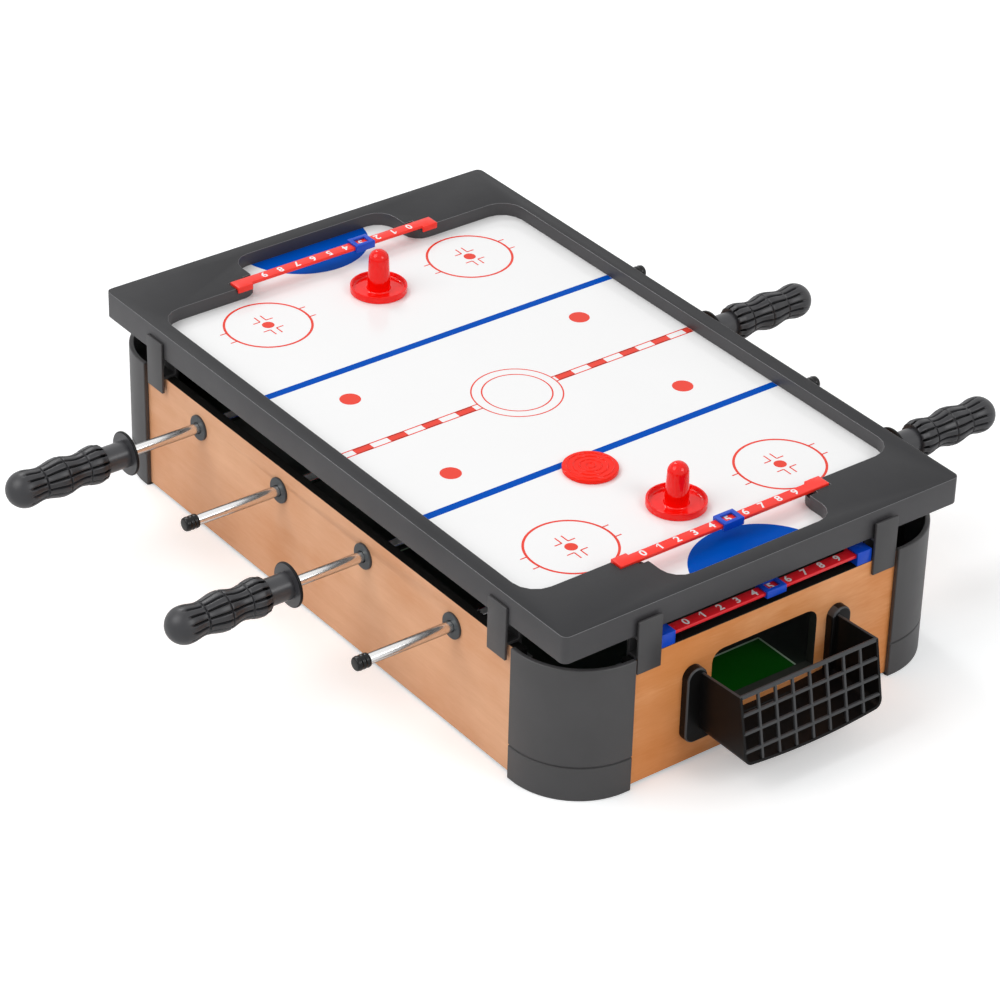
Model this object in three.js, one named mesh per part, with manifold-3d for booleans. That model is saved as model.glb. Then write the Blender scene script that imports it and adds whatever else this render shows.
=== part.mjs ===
// A tabletop game: a football case with four rods, and a lift-off hockey tray on clip brackets.
// Millimetres. +X runs from goal to goal, +Y along the rods, +Z up, and the floor is z = 0.
import * as THREE from 'three';
import { mergeVertices } from 'three/addons/utils/BufferGeometryUtils.js';
import Module from 'manifold-3d';

const wasm = await Module();
wasm.setup();

// Shared values
const overrun = 2; // how far every cut runs past the face it opens
const seat = 0.3; // gap between two pieces that nearly touch
const slip = 0.05; // running clearance of a round fit
const glide = 0.1; // running clearance of a flat fit
const roundSides = 12; // sides of a small round piece
const discSides = 20; // sides of the strikers and the puck
const arcSteps = 4; // fineness of a large rounded corner
const smallArcSteps = 2;
const basketSteps = 3;
const domeShares = [0.45, 0.8]; // rings of a dome, as shares of its quarter turn

// Case
const caseLength = 510; // over the corner posts
const caseWidth = 314;
const postRadius = 49.3;
const postLead = 4.1; // straight lip of the post's skin over each panel's end
const postSkin = 3.4;
const postCheek = 2;
const postRise = 2; // how far the posts stand above the panels
const webDrop = 7.3; // the hidden webs stop below the skin's top
const panelThickness = 6.6;
const panelAboveRods = 17.7; // from the rods' height to the panels' top edge
const footGroove = 24.5; // height of the groove round each corner post
const grooveDepth = 0.5;
const grooveHeight = 0.8;
const footPlate = 1.5;
const soleGap = 6.2; // free space under the players
const pitchThickness = 3.2;
const pitchCorner = 40;

// Goals in the end panels
const goalWidth = 83;
const goalSillRise = 1; // above the pitch
const goalHeight = 42.5;
const goalCorner = 8;
const basketWidth = 109.5;
const basketWall = 1.8;
const basketDrop = 7.5; // from the goal's sill down to the basket's floor
const basketHeight = 46;
const basketSag = 2.5; // the floor hangs lower in the middle
const basketRimFall = 2.5; // the side walls start this much lower at the panel
const basketReachTop = 41.4; // from panel to lattice, at the rim
const basketReachBottom = 50.4;
const basketFloorCorner = 6;
const flangeWidth = 129.5;
const flangeRise = 1.5; // above the basket's rim
const flangeDrop = 6.5; // below the basket's floor
const flangeThickness = 6;
const flangeLobe = 15.1; // width of each of the flange's two upright lobes
const flangeFootCorner = 7.5;
const latticeColumns = 8;
const latticeRows = 4; // the lowest row is cut short by the floor
const latticeBar = 1.9;
const latticeRimBar = 2.4;
const latticeRowPitch = 12;

// Rods and what is on them
const rodPitch = 93.3;
const rodCount = 4;
const rodHeight = 75.6; // the heights of case and tray follow it
const rodRest = -3.8; // how far the rods stand slid out of the middle of the case
const rodRadius = 3.5;
const rodChamfer = 0.4;
const capLength = 9.5;
const capRadius = 4.8;
const capChamfer = 0.8;
const capFloor = 1.5;
const discRadius = 15;
const discThickness = 2;
const neckRadius = 9;
const neckLength = 18;
const gripLength = 89.5;
const gripSocket = 64; // how deep the rod goes into the grip
const gripRibs = 14;
const ribDepth = 1.3;
const ringGroove = 1.5; // depth of the three grooves round the grip
const ringHalfWidth = 0.9;
const gripShape = [[20.2, 11.2], [25.8, 12.9], [38.6, 10.7], [51, 13.2], [66, 10.9], [76.6, 12.9]];
const gripStops = [38.6, 44.4, 56, 70.4]; // where the ribbed part is shaped
const grooveShape = [33, 49, 64.6]; // places of the three grooves, from the disc's inner face
const bushingBarrel = 5.9;
const bushingFlange = 8.8;
const bushingFlangeThickness = 1.7;
const bushingTail = 1.4; // how far the barrel stands out inside the panel
const collarRadius = 6.6;
const collarLength = 12;
const sleeveRadius = 5.2;
const rodTravel = 46; // each way from the middle
const capGap = 11.5; // left between cap and bushing when the rod is slid fully
const discGap = 3.9; // left between thumb disc and bushing when the rod is slid fully
const collarGap = 3.7; // between a collar and the player beside it
const playersPerRod = 3;
const playerSides = 6; // sides of a player and of the sleeve
const playerFinishes = ['gameRed', 'sliderBlue'];
// Rings of a player: height from the rod, half width along it and half depth, from sole to crown
const playerShape = [
  [-38.4, 6, 7.5],
  [-31, 6.5, 8],
  [-28, 5, 3.8],
  [-8, 8.5, 6],
  [9, 9.6, 6.6],
  [12, 3.4, 3.2],
  [16.5, 6, 6],
  [21.5, 3, 3],
];

// Tray
const trayEndInset = 5; // the tray's outline lies inside the case's
const traySideInset = 1.8;
const trayAbovePanel = 15.95;
const trayHeight = 18.9;
const trayCorner = 4.5;
const traySkirt = 3;
const endRail = 48.2; // width of the frame's top at each end
const sideRail = 10.8;
const fieldCorner = 16.5;
const fieldDepth = 9.5;
const boardThickness = 3;
const recessRail = 11.5; // from the recess's end wall to the frame's edge
const recessCorner = 14;
const recessMouth = 12.5; // rounding where the recess opens into the field

// Scorers, the same on tray and case
const barBesideBracket = 2; // from a bar's end to the bracket beside it
const barOnFrame = 18.5; // how much of the tray's bar lies on the frame at each side of the recess
const barWidth = 8;
const barThickness = 2.3;
const barEndBlock = 11.7;
const barHookDrop = 4.3;
const barHookThickness = 1.6;
const barRise = 1.05; // how far the bar stands above the tray
const barFromWall = 0.6; // from the field's end wall to the bar's near edge
const sliderLength = 15.4;
const sliderWall = 1.8;
const sliderTop = 1.7;
const sliderFloor = 1.1;
const sliderWindowLength = 9;
const sliderWindowWidth = 6.3;
const barSeatMargin = 1; // free space at each end of the bar in the tray
const sliderRoom = 1; // free space beside the slider in the tray
const digitPitch = 13.3;
const digitShift = -2.2; // the row of ten numbers is off the bar's middle
const digitCount = 10;
const shownOnCase = 5; // number under each slider
const shownOnTray = [5, 3]; // near end, far end
const caseBarAbovePanel = 7.7;
const caseBarInset = 2.1; // from the middle of the end panel's top edge
const holderLength = 11.5;
const holderRoof = 1.5;
const holderWall = 1.3;
const holderLeg = 2.2;
const holderLegDrop = 9.3;

// Clip brackets between case and tray
const bracketWidth = 18;
const bracketPlate = 2;
const bracketAboveTray = 11.25; // from the tray's underside up
const bracketBelowPanel = 10.1; // from the panel's top edge down
const bracketShelf = 2;
const endBracketInset = 14.7; // from a post's centre to the bracket's middle
const sideBracketInset = 18;

// Pieces on the board
const strikerRadius = 19.4;
const strikerRim = 5;
const strikerRimWall = 1.6;
const strikerDish = 1.6;
const strikerPost = 6.9;
const strikerHeight = 31;
const strikerFoot = 7.8; // radius of the post at the dish
const strikerBevel = 0.5;
// Side of the game, distance from the field's end there, and place across the field
const strikerPlaces = [[-1, 41.5, 4.3], [1, 38.5, -0.7]];
const puckRadius = 18;
const puckHeight = 3.5;
const puckBevel = 0.6;
const puckPlace = [1, 101, -19.1];
const puckRings = [13.5, 7]; // radii of the raised rings on its face
const puckRingWidth = 0.8;
const puckRingHeight = 0.4;

// Places worked out from the sizes above
const caseHalfLength = caseLength / 2;
const caseHalfWidth = caseWidth / 2;
const postCentreX = caseHalfLength - postRadius;
const postCentreY = caseHalfWidth - postRadius;
const endPanelOuter = caseHalfLength - postSkin;
const endPanelInner = endPanelOuter - panelThickness;
const sidePanelOuter = caseHalfWidth - postSkin;
const sidePanelInner = sidePanelOuter - panelThickness;
const sidePanelHalf = postCentreX - seat;
const endPanelHalf = postCentreY - seat;
const panelTop = rodHeight + panelAboveRods;
const postTop = panelTop + postRise;
const postWebTop = postTop - webDrop;
const playerSole = playerShape[0][0];
const playerHalf = Math.max(...playerShape.map(([, width]) => width));
const pitchLevel = rodHeight + playerSole - soleGap;
const pitchBottom = pitchLevel - pitchThickness;
const goalSill = pitchLevel + goalSillRise;
const goalTop = goalSill + goalHeight;
const basketBottom = goalSill - basketDrop;
const basketRim = basketBottom + basketHeight;
const basketRimAtPanel = basketRim - basketRimFall;
const flangeTop = basketRim + flangeRise;
const flangeBottom = basketBottom - flangeDrop;
const trayLength = caseLength - 2 * trayEndInset;
const trayWidth = caseWidth - 2 * traySideInset;
const trayBottom = panelTop + trayAbovePanel;
const trayTop = trayBottom + trayHeight;
const fieldLength = trayLength - 2 * endRail;
const fieldWidth = trayWidth - 2 * sideRail;
const recessReach = trayLength / 2 - recessRail;
const boardLevel = trayTop - fieldDepth;
const boardBottom = boardLevel - boardThickness;
const bushingFace = sidePanelOuter + bushingFlangeThickness;
const bushingEnd = sidePanelInner - bushingTail;
const rodCapReach = bushingFace + rodTravel + capGap; // from the middle to the cap's inner end
const discReach = bushingFace + rodTravel + discGap; // from the middle to the grip's thumb disc
const stopFace = bushingEnd - rodTravel - seat;
const playerPitch = (2 * (stopFace - collarLength - collarGap - playerHalf)) / (playersPerRod - 1);
const endBracketPlace = postCentreY - endBracketInset;
const sideBracketPlace = postCentreX - sideBracketInset;
const bracketTop = trayBottom + bracketAboveTray;
const bracketBottom = panelTop - bracketBelowPanel;
const barLength = 2 * (endBracketPlace - bracketWidth / 2 - barBesideBracket);
const recessWidth = barLength - 2 * barOnFrame;
const barNear = fieldLength / 2 + barFromWall;
const caseBarTop = panelTop + caseBarAbovePanel;
const caseBarNear = (endPanelOuter + endPanelInner - barWidth) / 2 - caseBarInset;
const barTopOnTray = trayTop + barRise;

// Colours, roughness and metalness of each finish
const finishes = {
  woodPanel: [0xd9965c, 0.55, 0],
  darkPlastic: [0x45464a, 0.5, 0],
  framePlastic: [0x434446, 0.42, 0],
  blackPlastic: [0x2b2c2e, 0.45, 0],
  rubber: [0x1c1c1e, 0.8, 0],
  steel: [0xd8dadc, 0.18, 1],
  pitchGreen: [0x0c4a1a, 0.6, 0],
  boardWhite: [0xf4f4f4, 0.25, 0],
  barRed: [0xe8281c, 0.35, 0],
  caseBarRed: [0xb3141c, 0.35, 0],
  sliderBlue: [0x1c4fb8, 0.35, 0],
  gameRed: [0xf0301c, 0.3, 0],
};

function material(name) {
  const [color, roughness, metalness] = finishes[name];
  return new THREE.MeshStandardMaterial({ color, roughness, metalness });
}

// Solids: three.js shapes go in, joined or cut solids come out
function solid(geometry) {
  const bare = geometry.index ? geometry.toNonIndexed() : geometry.clone();
  bare.deleteAttribute('normal');
  bare.deleteAttribute('uv');
  const merged = mergeVertices(bare);
  const corners = merged.index.array;
  const faces = [];
  for (let k = 0; k < corners.length; k += 3) {
    const [a, b, c] = corners.slice(k, k + 3);
    if (a !== b && b !== c && c !== a) faces.push(a, b, c);
  }
  const mesh = new wasm.Mesh({
    numProp: 3,
    vertProperties: new Float32Array(merged.attributes.position.array),
    triVerts: new Uint32Array(faces),
  });
  return new wasm.Manifold(mesh);
}

function join(...solids) {
  return solids.reduce((whole, piece) => whole.add(piece));
}

function cut(body, ...tools) {
  return tools.reduce((rest, tool) => rest.subtract(tool), body);
}

function geometryOf(body) {
  const mesh = body.getMesh();
  const geometry = new THREE.BufferGeometry();
  geometry.setAttribute('position', new THREE.BufferAttribute(Float32Array.from(mesh.vertProperties), 3));
  geometry.setIndex(new THREE.BufferAttribute(Uint32Array.from(mesh.triVerts), 1));
  geometry.computeVertexNormals();
  return geometry;
}

function moved(body, x, y, z) {
  return body.translate([x, y, z]);
}

// A box given by its low and high corners
function block(x0, x1, y0, y1, z0, z1) {
  const geometry = new THREE.BoxGeometry(x1 - x0, y1 - y0, z1 - z0);
  geometry.translate((x0 + x1) / 2, (y0 + y1) / 2, (z0 + z1) / 2);
  return solid(geometry);
}

// A plate cut from an outline in the XY plane, between two heights
function plate(outline, z0, z1, curveSegments = arcSteps) {
  const geometry = new THREE.ExtrudeGeometry(outline, { depth: z1 - z0, bevelEnabled: false, curveSegments });
  geometry.translate(0, 0, z0);
  return solid(geometry);
}

// An outline drawn with x along Y and y along Z, made thick from x0 to x1
function slabAlongX(outline, x0, x1, curveSegments = arcSteps) {
  const geometry = new THREE.ExtrudeGeometry(outline, { depth: x1 - x0, bevelEnabled: false, curveSegments });
  geometry.rotateX(Math.PI / 2);
  geometry.rotateZ(Math.PI / 2);
  geometry.translate(x0, 0, 0);
  return solid(geometry);
}

// An outline drawn with x along X and y along Z, made thick from y0 to y1
function slabAlongY(outline, y0, y1, curveSegments = arcSteps) {
  const geometry = new THREE.ExtrudeGeometry(outline, { depth: y1 - y0, bevelEnabled: false, curveSegments });
  geometry.rotateX(Math.PI / 2);
  geometry.translate(0, y1, 0);
  return solid(geometry);
}

// A profile of [radius, height] points turned about the Y axis
function turnedAboutY(profile, sides = roundSides) {
  return solid(new THREE.LatheGeometry(profile.map(([r, h]) => new THREE.Vector2(r, h)), sides));
}

// The same profile turned about the Z axis
function turnedAboutZ(profile, sides = roundSides) {
  const geometry = new THREE.LatheGeometry(profile.map(([r, h]) => new THREE.Vector2(r, h)), sides);
  geometry.rotateX(Math.PI / 2);
  return solid(geometry);
}

function roundedRectangle(width, height, radius) {
  const [w, h] = [width / 2, height / 2];
  const shape = new THREE.Shape();
  shape.moveTo(-w + radius, -h);
  shape.absarc(w - radius, -h + radius, radius, -Math.PI / 2, 0);
  shape.absarc(w - radius, h - radius, radius, 0, Math.PI / 2);
  shape.absarc(-w + radius, h - radius, radius, Math.PI / 2, Math.PI);
  shape.absarc(-w + radius, -h + radius, radius, Math.PI, 1.5 * Math.PI);
  return shape;
}

// Everything is drawn round the middle of the case. The rods, the widest pieces, stand slid out of it,
// so the whole is moved to bring its own middle to the origin.
const game = new THREE.Group();
game.position.y = -rodRest;

function add(name, body, finish) {
  const mesh = new THREE.Mesh(geometryOf(body), material(finish));
  mesh.name = name;
  game.add(mesh);
}

function halfTurned(body) {
  return body.rotate([0, 0, 180]);
}

// Adds a body drawn for the +X end or the -Y side, and its twin half round the vertical axis
function addPair(names, body, finish) {
  add(names[0], body, finish);
  add(names[1], halfTurned(body), finish);
}

// Case panels
function rodPlaces() {
  return Array.from({ length: rodCount }, (_, k) => (k - (rodCount - 1) / 2) * rodPitch);
}

function panelOutline(half) {
  return polygon([[-half, footPlate], [half, footPlate], [half, panelTop], [-half, panelTop]]);
}

function polygon(points) {
  return new THREE.Shape(points.map(([u, v]) => new THREE.Vector2(u, v)));
}

// A round hole with the same corners that a turned piece has
function turnedHole(u, v, radius) {
  const corners = Array.from({ length: roundSides }, (_, k) => (2 * Math.PI * k) / roundSides);
  return polygon(corners.map((a) => [u + radius * Math.sin(a), v + radius * Math.cos(a)]));
}

function frontPanel() {
  const outline = panelOutline(postCentreX - seat);
  outline.holes = rodPlaces().map((x) => turnedHole(x, rodHeight, bushingBarrel + slip));
  return slabAlongY(outline, -sidePanelOuter, -sidePanelInner);
}

function endPanel() {
  const half = goalWidth / 2;
  const goal = new THREE.Path();
  goal.moveTo(-half, goalSill);
  goal.lineTo(half, goalSill);
  goal.absarc(half - goalCorner, goalTop - goalCorner, goalCorner, 0, Math.PI / 2);
  goal.absarc(-half + goalCorner, goalTop - goalCorner, goalCorner, Math.PI / 2, Math.PI);
  goal.closePath();
  const outline = panelOutline(postCentreY - seat);
  outline.holes = [goal];
  return slabAlongX(outline, endPanelInner, endPanelOuter, smallArcSteps);
}

addPair(['front_panel', 'rear_panel'], frontPanel(), 'woodPanel');
addPair(['right_end_panel', 'left_end_panel'], endPanel(), 'woodPanel');

const pitch = roundedRectangle(2 * (endPanelInner - seat), 2 * (sidePanelInner - seat), pitchCorner);
add('pitch_board', plate(pitch, pitchBottom, pitchLevel), 'pitchGreen');

// Corner pieces, drawn for the +X +Y corner: a quarter-round skin with a lip over each panel's end,
// cheeks behind the panels, and webs that tie the cheeks to the skin
const lipX = postCentreX - postLead;
const lipY = postCentreY - postLead;
const cheekX = endPanelInner - seat;
const cheekY = sidePanelInner - seat;

function skin(radius, z0, z1) {
  const outline = new THREE.Shape();
  outline.moveTo(postCentreX + radius, lipY);
  outline.absarc(postCentreX, postCentreY, radius, 0, Math.PI / 2);
  outline.lineTo(lipX, postCentreY + radius);
  outline.lineTo(lipX, sidePanelOuter);
  outline.absarc(postCentreX, postCentreY, postRadius - postSkin, Math.PI / 2, 0, true);
  outline.lineTo(caseHalfLength - postSkin, lipY);
  return plate(outline, z0, z1);
}

function cheeks(z0, z1) {
  return join(
    block(lipX, postCentreX + postCheek, cheekY - postCheek, cheekY, z0, z1),
    block(cheekX - postCheek, cheekX, lipY, postCentreY + postCheek, z0, z1),
  );
}

function webs(z0, z1) {
  const intoSkin = postSkin / 2;
  return join(
    block(postCentreX, postCentreX + postCheek, cheekY - postCheek, caseHalfWidth - intoSkin, z0, z1),
    block(cheekX - postCheek, caseHalfLength - intoSkin, postCentreY, postCentreY + postCheek, z0, z1),
  );
}

function cornerPost() {
  const floor = new THREE.Shape();
  floor.moveTo(caseHalfLength, lipY);
  floor.absarc(postCentreX, postCentreY, postRadius, 0, Math.PI / 2);
  floor.lineTo(lipX, caseHalfWidth);
  floor.lineTo(lipX, cheekY - postCheek);
  floor.lineTo(cheekX - postCheek, lipY);
  const innerX = cheekX - postCheek;
  const innerY = cheekY - postCheek;
  const corner = polygon([[postCentreX, innerY], [innerX, postCentreY], [innerX, innerY]]);
  const ledgeBottom = pitchBottom - postCheek;
  const ledge = plate(corner, ledgeBottom, pitchBottom).intersect(plate(floor, ledgeBottom, pitchBottom));
  const grooveTop = footGroove + grooveHeight;
  const abovePitch = pitchLevel + seat;
  return join(
    skin(postRadius, 0, footGroove),
    skin(postRadius - grooveDepth, footGroove, grooveTop),
    skin(postRadius, grooveTop, postTop),
    plate(floor, 0, footPlate),
    cheeks(0, pitchBottom),
    webs(0, pitchBottom),
    ledge,
    cheeks(abovePitch, postWebTop),
    webs(abovePitch, postWebTop),
  );
}

function mirrored(body, flipX, flipY) {
  const turned = flipX ? body.mirror([1, 0, 0]) : body;
  return flipY ? turned.mirror([0, 1, 0]) : turned;
}

const cornerFlips = [[true, true], [false, true], [false, false], [true, false]];
cornerFlips.forEach(([flipX, flipY], k) => {
  add(`corner_post_${k + 1}`, mirrored(cornerPost(), flipX, flipY), 'darkPlastic');
});

// Goal basket at the +X end. Its front is a lattice that leans outward, and its floor sags.
const rimReach = endPanelOuter + basketReachTop;
const lean = (basketReachBottom - basketReachTop) / (basketRim - basketBottom);

function latticeFace(z) {
  return rimReach + lean * (basketRim - z);
}

// The basket's section across the game, moved inward by a wall thickness
function basketSection(inset, top) {
  const half = basketWidth / 2 - inset;
  const low = basketBottom + inset;
  const corner = basketFloorCorner - inset;
  const section = new THREE.Shape();
  section.moveTo(-half + corner, low);
  section.quadraticCurveTo(0, low - 2 * basketSag, half - corner, low);
  section.absarc(half - corner, low + corner, corner, -Math.PI / 2, 0);
  section.lineTo(half, top);
  section.lineTo(-half, top);
  section.absarc(-half + corner, low + corner, corner, Math.PI, 1.5 * Math.PI);
  return section;
}

function basketBlock(inset, top, x0, x1) {
  return slabAlongX(basketSection(inset, top), x0, x1, basketSteps);
}

// A leaning slab along the lattice's face, between two distances behind that face
function leaningSlab(behindFar, behindNear) {
  const low = basketBottom - 2 * basketSag;
  const high = basketRim + overrun;
  const outline = polygon([
    [latticeFace(low) - behindFar, low],
    [latticeFace(low) - behindNear, low],
    [latticeFace(high) - behindNear, high],
    [latticeFace(high) - behindFar, high],
  ]);
  return slabAlongY(outline, -basketWidth, basketWidth);
}

function goalFlange() {
  const half = flangeWidth / 2;
  const lobe = flangeLobe / 2;
  const throat = half - flangeLobe;
  const outline = new THREE.Shape();
  outline.moveTo(-half + flangeFootCorner, flangeBottom);
  outline.absarc(half - flangeFootCorner, flangeBottom + flangeFootCorner, flangeFootCorner, -Math.PI / 2, 0);
  outline.absarc(half - lobe, flangeTop - lobe, lobe, 0, Math.PI);
  outline.lineTo(throat, basketBottom);
  outline.lineTo(-throat, basketBottom);
  outline.absarc(-half + lobe, flangeTop - lobe, lobe, 0, Math.PI);
  outline.absarc(-half + flangeFootCorner, flangeBottom + flangeFootCorner, flangeFootCorner, Math.PI,
    1.5 * Math.PI);
  return slabAlongX(outline, endPanelOuter, endPanelOuter + flangeThickness, smallArcSteps);
}

function lattice() {
  const face = leaningSlab(latticeBar, 0);
  const far = rimReach + basketReachBottom;
  const openings = basketBlock(latticeBar, basketRim - latticeRimBar, endPanelOuter, far);
  const half = basketWidth / 2;
  const columnPitch = (basketWidth - latticeBar) / latticeColumns;
  let bars = null;
  for (let k = 1; k < latticeColumns; k += 1) {
    const y = -half + latticeBar / 2 + k * columnPitch;
    const bar = block(endPanelOuter, far, y - latticeBar / 2, y + latticeBar / 2, 0, basketRim);
    bars = bars ? bars.add(bar) : bar;
  }
  for (let k = 1; k < latticeRows; k += 1) {
    const z = basketRim - latticeRimBar / 2 - k * latticeRowPitch;
    bars = bars.add(block(endPanelOuter, far, -half, half, z - latticeBar / 2, z + latticeBar / 2));
  }
  const sheet = basketBlock(0, basketRim, endPanelOuter, far).intersect(face);
  return cut(sheet, cut(openings, bars));
}

function goalBasket() {
  const start = endPanelOuter;
  const far = rimReach + basketReachBottom;
  const walls = cut(
    basketBlock(0, basketRim, start, far),
    basketBlock(basketWall, basketRim + overrun, start - overrun, far + overrun),
    leaningSlab(0, -basketReachBottom - far),
  );
  const rimSlope = polygon([
    [start - overrun, basketRimAtPanel],
    [rimReach, basketRim],
    [rimReach, basketRim + overrun],
    [start - overrun, basketRim + overrun],
  ]);
  const aboveRim = slabAlongY(rimSlope, -basketWidth, basketWidth);
  return join(goalFlange(), cut(walls, aboveRim), lattice());
}

addPair(['goal_basket_1', 'goal_basket_2'], goalBasket(), 'blackPlastic');

// Scorer bar: a flat strip with a hooked block at each end. Its near top edge is the origin, and the
// hooks point to -X.
function scorerBar() {
  const half = barLength / 2;
  const hookOuter = -barFromWall - glide - barHookThickness;
  const hookInner = hookOuter + barHookThickness;
  const strip = block(0, barWidth, -half, half, -barThickness, 0);
  const ends = [-half, half - barEndBlock].map((y) => join(
    block(hookOuter, barWidth, y, y + barEndBlock, -barThickness, 0),
    block(hookOuter, hookInner, y, y + barEndBlock, -barHookDrop, 0),
  ));
  return join(strip, ...ends);
}

// Slider round the bar, with a window over one number
function scorerSlider() {
  const half = sliderLength / 2;
  const side = glide + sliderWall;
  const sleeve = block(-side, barWidth + side, -half, half, -barThickness - glide - sliderFloor,
    glide + sliderTop);
  const tunnel = block(-glide, barWidth + glide, -half - overrun, half + overrun, -barThickness - glide,
    glide);
  const window = block(
    (barWidth - sliderWindowWidth) / 2,
    (barWidth + sliderWindowWidth) / 2,
    -sliderWindowLength / 2,
    sliderWindowLength / 2,
    -glide,
    sliderTop + overrun,
  );
  return cut(sleeve, tunnel, window);
}

function numberPlace(digit, shift) {
  return shift + (digit - (digitCount - 1) / 2) * digitPitch;
}

// Holder that stands on the end panel and takes one end of the case's bar
function barHolder() {
  const hookOuter = -barFromWall - glide - barHookThickness;
  const low = panelTop - caseBarTop;
  const top = glide + holderRoof;
  const end = barLength / 2 + glide + holderWall;
  const start = end - holderLength;
  const body = block(hookOuter - glide - holderWall, barWidth + glide + holderWall, start, end, low, top);
  const slot = block(hookOuter - glide, barWidth + glide, start - overrun, end - holderWall,
    -barThickness - glide, glide);
  const hookSlot = block(hookOuter - glide, -barFromWall, start - overrun, end - holderWall,
    -barHookDrop - glide, glide);
  const legOuter = endPanelInner - caseBarNear - seat;
  const leg = block(legOuter - holderLeg, legOuter, start, end, low - holderLegDrop, low + overrun);
  return join(cut(body, slot, hookSlot), cut(leg, slot, hookSlot));
}

const caseBar = moved(scorerBar(), caseBarNear, 0, caseBarTop);
const caseSlider = moved(scorerSlider(), caseBarNear, numberPlace(shownOnCase, 0), caseBarTop);
const holder = moved(barHolder(), caseBarNear, 0, caseBarTop);
addPair(['case_scorer_bar_1', 'case_scorer_bar_2'], caseBar, 'caseBarRed');
addPair(['case_scorer_holder_1', 'case_scorer_holder_2'], holder, 'sliderBlue');
addPair(['case_scorer_holder_3', 'case_scorer_holder_4'], mirrored(holder, false, true), 'sliderBlue');
addPair(['case_scorer_slider_1', 'case_scorer_slider_2'], caseSlider, 'sliderBlue');

// Clip brackets: a plate outside, a leg inside, a rib on the panel's edge and a shelf under the tray
function bracketOutline(panelOuter, panelInner, trayHalf) {
  const plateInner = Math.max(panelOuter, trayHalf) + glide;
  const plateOuter = plateInner + bracketPlate;
  const legOuter = panelInner - seat;
  const legInner = legOuter - bracketPlate;
  const outline = polygon([
    [plateInner, bracketBottom],
    [plateOuter, bracketBottom],
    [plateOuter, bracketTop],
    [plateInner, bracketTop],
    [plateInner, trayBottom],
    [legInner, trayBottom],
    [legInner, bracketBottom],
    [legOuter, bracketBottom],
    [legOuter, panelTop],
    [plateInner, panelTop],
  ]);
  outline.holes = [polygon([
    [legOuter, panelTop + bracketShelf],
    [plateInner, panelTop + bracketShelf],
    [plateInner, trayBottom - bracketShelf],
    [legOuter, trayBottom - bracketShelf],
  ])];
  return outline;
}

function endBracket() {
  const outline = bracketOutline(endPanelOuter, endPanelInner, trayLength / 2);
  const middle = endBracketPlace;
  return slabAlongY(outline, middle - bracketWidth / 2, middle + bracketWidth / 2);
}

function sideBracket() {
  const outline = bracketOutline(sidePanelOuter, sidePanelInner, trayWidth / 2);
  const middle = sideBracketPlace;
  return slabAlongX(outline, middle - bracketWidth / 2, middle + bracketWidth / 2);
}

addPair(['tray_bracket_1', 'tray_bracket_2'], endBracket(), 'blackPlastic');
addPair(['tray_bracket_3', 'tray_bracket_4'], mirrored(endBracket(), false, true), 'blackPlastic');
addPair(['tray_bracket_5', 'tray_bracket_6'], sideBracket(), 'blackPlastic');
addPair(['tray_bracket_7', 'tray_bracket_8'], mirrored(sideBracket(), true, false), 'blackPlastic');

// Rods and what rides on them are drawn along Y at the origin, with the grip at -Y
const rodEnd = rodCapReach + capLength - capFloor - slip;
const gripSocketEnd = discReach + gripSocket;

function rod() {
  const chamfered = rodRadius - rodChamfer;
  return turnedAboutY([
    [0, slip - gripSocketEnd],
    [chamfered, slip - gripSocketEnd],
    [rodRadius, slip - gripSocketEnd + rodChamfer],
    [rodRadius, rodEnd - rodChamfer],
    [chamfered, rodEnd],
    [0, rodEnd],
  ]);
}

function rodCap() {
  const bore = rodRadius + slip;
  const tip = rodCapReach + capLength;
  return turnedAboutY([
    [0, tip - capFloor],
    [bore, tip - capFloor],
    [bore, rodCapReach],
    [capRadius, rodCapReach],
    [capRadius, tip - capChamfer],
    [capRadius - capChamfer, tip],
    [0, tip],
  ]);
}

function bushing() {
  const bore = rodRadius + slip;
  return turnedAboutY([
    [bore, bushingEnd],
    [bushingBarrel, bushingEnd],
    [bushingBarrel, sidePanelOuter],
    [bushingFlange, sidePanelOuter],
    [bushingFlange, bushingFace],
    [bore, bushingFace],
    [bore, bushingEnd],
  ]);
}

// A solid through rings of points, closed at both ends. Each ring turns right-handed about the way the
// rings follow each other.
function lofted(rings) {
  const count = rings[0].length;
  const middle = (ring) => ring.reduce((sum, p) => sum.add(p), new THREE.Vector3()).divideScalar(count);
  const points = [...rings.flat(), middle(rings[0]), middle(rings[rings.length - 1])];
  const first = rings.length * count;
  const faces = [];
  for (let j = 0; j < count; j += 1) {
    const next = (j + 1) % count;
    for (let i = 0; i < rings.length - 1; i += 1) {
      const low = i * count;
      const high = low + count;
      faces.push(low + j, low + next, high + next, low + j, high + next, high + j);
    }
    const last = first - count;
    faces.push(first, next, j, first + 1, last + j, last + next);
  }
  const geometry = new THREE.BufferGeometry().setFromPoints(points);
  geometry.setIndex(faces);
  return solid(geometry);
}

// The grip's radius at a distance from the disc: smooth waves through the shape's high and low places
function gripRadius(s) {
  const k = Math.max(1, gripShape.findIndex(([place]) => place >= s));
  const [s0, r0] = gripShape[k - 1];
  const [s1, r1] = gripShape[k];
  const share = (s - s0) / (s1 - s0);
  return r0 + ((r1 - r0) * (1 - Math.cos(Math.PI * share))) / 2;
}

function gripRing(s, radius, depth) {
  return Array.from({ length: 2 * gripRibs }, (_, j) => {
    const angle = (Math.PI * j) / gripRibs;
    const r = j % 2 ? radius - depth : radius;
    return new THREE.Vector3(r * Math.cos(angle), -discReach - s, r * Math.sin(angle));
  });
}

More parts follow.
